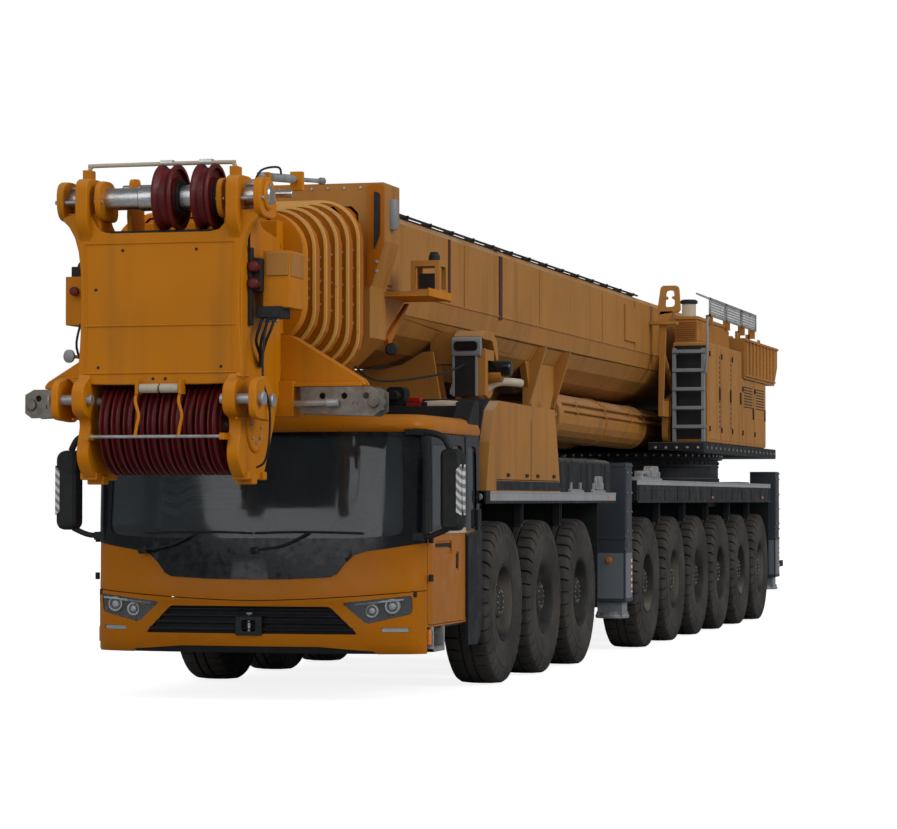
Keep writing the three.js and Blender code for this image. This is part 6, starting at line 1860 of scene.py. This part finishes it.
def add_house():
    body = Shape().prism("X", [(HOUSE[0], 2.421), (HOUSE[1], 2.421), (HOUSE[1], HOUSE_LOW),
        (HOUSE_STEP, HOUSE_LOW), (HOUSE_STEP, HOUSE_HIGH), (HOUSE[0], HOUSE_HIGH)], HOUSE_X)
    piece("house_body", body, "superstructure", YELLOW_DUSTY, 0.018, replaces=["engine_house"])
    skin = Shape()
    x = (1.449, 1.456)
    panels = [(11.14, 12.02, 2.46, 3.66), (12.05, 12.88, 2.46, 3.66), (12.91, 13.71, 2.46, 3.66),
        (13.78, 14.8, 2.46, 3.3), (14.83, 15.86, 2.46, 3.3)]
    for y0, y1, z0, z1 in panels:
        skin.use(0).box(x, (y0, y1), (z0, z1))
        skin.use(1).box((1.455, 1.47), (y1 - 0.12, y1 - 0.07),
            ((z0 + z1) / 2 - 0.08, (z0 + z1) / 2 + 0.08))
        for z in (z0 + 0.1, z1 - 0.14):
            skin.bar((1.462, y0 + 0.015, z), (1.462, y0 + 0.015, z + 0.07), 0.012, 12)
    for z in spread(2.62, 3.52, 15):
        skin.use(1).box((1.455, 1.459), (11.92, 11.97), (z, z + 0.035))
        skin.box((1.455, 1.459), (12.8, 12.83), (z, z + 0.035))
    for y0 in (13.9, 14.95):
        for z in spread(2.95, 3.22, 8):
            skin.use(1).box((1.455, 1.4585), (y0, y0 + 0.75), (z, z + 0.014))
    skin.use(2).box((1.02, 1.42), (11.094, 11.101), (2.46, 3.66))
    piece("house_panels", skin, "superstructure", [YELLOW_DUSTY, MATT, BLACK], 0.003)

    upper = Shape()
    upper.use(0).box((1.01, 1.3), (11.16, 13.55), (3.69, 4.0))
    upper.use(0).box((0.995, 1.315), (11.14, 13.57), (4.0, 4.04))
    for y in spread(11.24, 13.47, 34):
        upper.use(0).prism("Z", [(1.298, y), (1.322, y + 0.02), (1.322, y + 0.028), (1.298, y + 0.012)],
            (3.73, 3.97))
        upper.use(1).box((1.297, 1.302), (y + 0.014, y + 0.05), (3.735, 3.965))
    for z in spread(3.74, 3.96, 9):
        upper.use(0).prism("Y", [(1.02, z), (1.29, z), (1.29, z + 0.008), (1.02, z + 0.008)],
            (11.135, 11.16))
    upper.use(2).turned([(0, 0.085), (0.01, 0.092), (0.17, 0.092), (0.18, 0.085), (0.18, 0.002)],
        (1.14, 11.45, 4.035), (0, 0, 1), 36)
    upper.use(1).turned([(0.181, 0.1), (0.19, 0.115), (0.215, 0.115), (0.235, 0.09), (0.236, 0.002)],
        (1.14, 11.45, 4.035), (0, 0, 1), 36)
    piece("house_louvres", upper, "superstructure", [YELLOW_DUSTY, MATT, BEIGE], 0.003)

    ladder = Shape()
    for px in (LADDER_X[0], LADDER_X[1] - 0.045):
        ladder.box((px, px + 0.045), (LADDER_Y[0] - 0.02, LADDER_Y[1] + 0.01), (2.425, LADDER_TOP))
        ladder.box((px, px + 0.045), (LADDER_Y[0], HOUSE[0] + 0.01),
            (LADDER_TOP - 0.08, LADDER_TOP - 0.04))
        ladder.box((px, px + 0.045), (LADDER_Y[0], HOUSE[0] + 0.01), (2.6, 2.64))
    for i in range(5):
        top = LADDER_TOP - 0.02 - i * 0.24
        ladder.box(LADDER_X, (LADDER_Y[0] - 0.03, LADDER_Y[1] + 0.02), (top - 0.05, top - 0.038))
        ladder.box(LADDER_X, (LADDER_Y[0] - 0.03, LADDER_Y[0] - 0.018), (top - 0.05, top))
    ladder.pipe([(1.44, 10.95, 3.3), (1.47, 10.93, 3.62), (1.45, 11.05, 3.95), (1.43, 11.3, 4.02)],
        0.016, 10)
    piece("house_ladder", ladder, "superstructure", GREY, 0.004)

    walk = Shape()
    low, high = 4.08, 4.32
    for y0, y1 in ((11.8, 13.05), (13.09, 14.34), (14.38, 15.65)):
        frame_y = (y0, y1)
        walk.use(0).box((1.338, 1.362), frame_y, (low, low + 0.03))
        walk.box((1.338, 1.362), frame_y, (high - 0.03, high))
        walk.box((1.338, 1.362), (frame_y[0], frame_y[0] + 0.03), (low, high))
        walk.box((1.338, 1.362), (frame_y[1] - 0.03, frame_y[1]), (low, high))
        for z in spread(low + 0.045, high - 0.055, 5):
            walk.box((1.345, 1.357), frame_y, (z, z + 0.01))
        for y in spread(y0 + 0.06, y1 - 0.08, 16):
            walk.box((1.343, 1.35), (y, y + 0.014), (low, high))
    for y in (11.9, 13.25, 14.5, 15.4):
        base = HOUSE_HIGH if y < HOUSE_STEP else 3.85
        top = 4.03 if y < 13.5 else base
        walk.use(1).box((1.28, 1.37), (y, y + 0.06), (3.97, 4.1))
        walk.box((1.24, 1.3), (y, y + 0.06), (min(top, 3.97) - 0.05, 4.03))
    walk.use(0)
    for y in (11.8, 13.7, 15.6):
        walk.bar((1.35, y, 4.3), (1.18, y, 4.375), 0.012, 10)
    walk.bar((1.18, 11.8, 4.375), (1.18, 15.6, 4.375), 0.012, 10)
    piece("folded_walkway", walk, "superstructure", [ZINC, YELLOW_DUSTY], 0.002, slot="deck_grey")


def add_counterweight():
    dress(["counterweight"], YELLOW_DUSTY, 0.012)
    ribs = Shape()
    for sign in (1, -1):
        for y in spread(13.98, 16.45, 9):
            ribs.prism("X", [(y, 3.39), (y + 0.05, 3.39), (y + 0.05, 3.87), (y, 3.87)],
                on_side(sign, 1.468, 1.492))
        ribs.box(on_side(sign, 1.465, 1.495), (13.92, 16.88), (3.86, 3.892))
        ribs.box(on_side(sign, 1.465, 1.493), (13.92, 16.6), (3.375, 3.4))
        for y in (14.3, 16.1):
            ribs.turned([(0, 0.05), (0.03, 0.05), (0.05, 0.04), (0.052, 0.002)], (sign * 1.2, y, 3.9),
                (0, 0, 1), 24)
            ribs.pipe([(sign * 1.32, y - 0.09, 3.89), (sign * 1.32, y - 0.06, 3.97),
                (sign * 1.32, y + 0.06, 3.97), (sign * 1.32, y + 0.09, 3.89)], 0.014, 10)
    piece("counterweight_ribs", ribs, "superstructure", YELLOW_DUSTY, 0.005)


def add_operator_cab():
    dress(["operator_cab"], YELLOW_CLEAN, 0.012, 3)
    dress(["operator_door"], GLOSS, 0.006)
    x0, x1 = OPERATOR_X
    panes = Shape()
    panes.box((x0 + 0.012, x0 + 0.018), (9.595, 10.155), (3.145, 3.825))
    panes.box((x1 - 0.018, x1 - 0.012), (9.045, 10.155), (3.145, 3.825))
    panes.box((x0 + 0.085, x1 - 0.085), (9.095, 10.005), (OPERATOR_TOP - 0.03, OPERATOR_TOP - 0.022))
    slant = [(8.668, 2.705), (8.7, 2.705), (8.86, 3.835), (8.828, 3.835)]
    panes.prism("X", slant, (x0 + 0.075, x1 - 0.075))
    piece("operator_glass", panes, "superstructure", GLASS, 0)
    door_pane = Shape().box((x0 - 0.018, x0 - 0.012),
        (OPERATOR_DOOR["y"][0] + 0.06, OPERATOR_DOOR["y"][1] - 0.06), (3.04, 3.8))
    piece("operator_door_glass", door_pane, "operator_door", GLASS, 0)
    handle = Shape().pipe([(x0 - 0.026, 9.42, 2.7), (x0 - 0.05, 9.42, 2.74), (x0 - 0.05, 9.42, 2.96),
        (x0 - 0.026, 9.42, 3.0)], 0.01, 10)
    piece("operator_door_handle", handle, "operator_door", ZINC, 0, slot="operator_black")
    inside = Shape()
    inside.box((-1.3, -1.0), (9.35, 9.75), (2.47, 2.66))
    inside.box((-1.4, -1.28), (9.15, 9.7), (2.66, 2.86))
    inside.box((-1.02, -0.9), (9.15, 9.7), (2.66, 2.86))
    inside.prism("X", [(8.86, 2.52), (8.9, 3.02), (9.0, 3.06), (9.04, 2.52)], (-1.3, -1.0))
    for px in (-1.34, -0.96):
        inside.bar((px, 9.25, 2.86), (px, 9.22, 3.0), 0.014, 12)
        inside.bar((px, 9.22, 3.0), (px, 9.215, 3.05), 0.024, 16)
    piece("operator_controls", inside, "superstructure", MATT, 0.01)
    seat = Shape()
    seat.prism("X", rounded_corners([(9.2, 2.66), (9.18, 2.78), (9.62, 2.76), (9.66, 2.66)], 0.04),
        (-1.27, -1.03))
    seat.prism("X", rounded_corners([(9.58, 2.74), (9.68, 3.38), (9.78, 3.38), (9.72, 2.72)], 0.04),
        (-1.27, -1.03))
    cushion = piece("operator_seat", seat, "superstructure", FABRIC, 0.025)
    rail = Shape()
    for z in (2.62, 3.05, 3.5):
        rail.bar((x0 - 0.004, 10.3, z), (x0 - 0.004, 10.52, z), 0.014, 12)
    rail.bar((x0 - 0.004, 10.52, 2.44), (x0 - 0.004, 10.52, 3.5), 0.016, 12)
    rail.box((x0 + 0.1, x0 + 0.5), (8.63, 8.66), (2.55, 2.62))
    for px in (-1.33, -0.97):
        rail.turned([(0, 0.04), (0.02, 0.06), (0.09, 0.06), (0.1, 0.05), (0.102, 0.002)],
            (px, 8.78, 3.99), (0, -1, 0), 24)
        rail.box((px - 0.02, px + 0.02), (8.74, 8.78), (3.94, 4.0))
    piece("operator_cab_rails", rail, "superstructure", MATT, 0.003)


add_turntable()
add_winch()
add_house()
add_counterweight()
add_operator_cab()
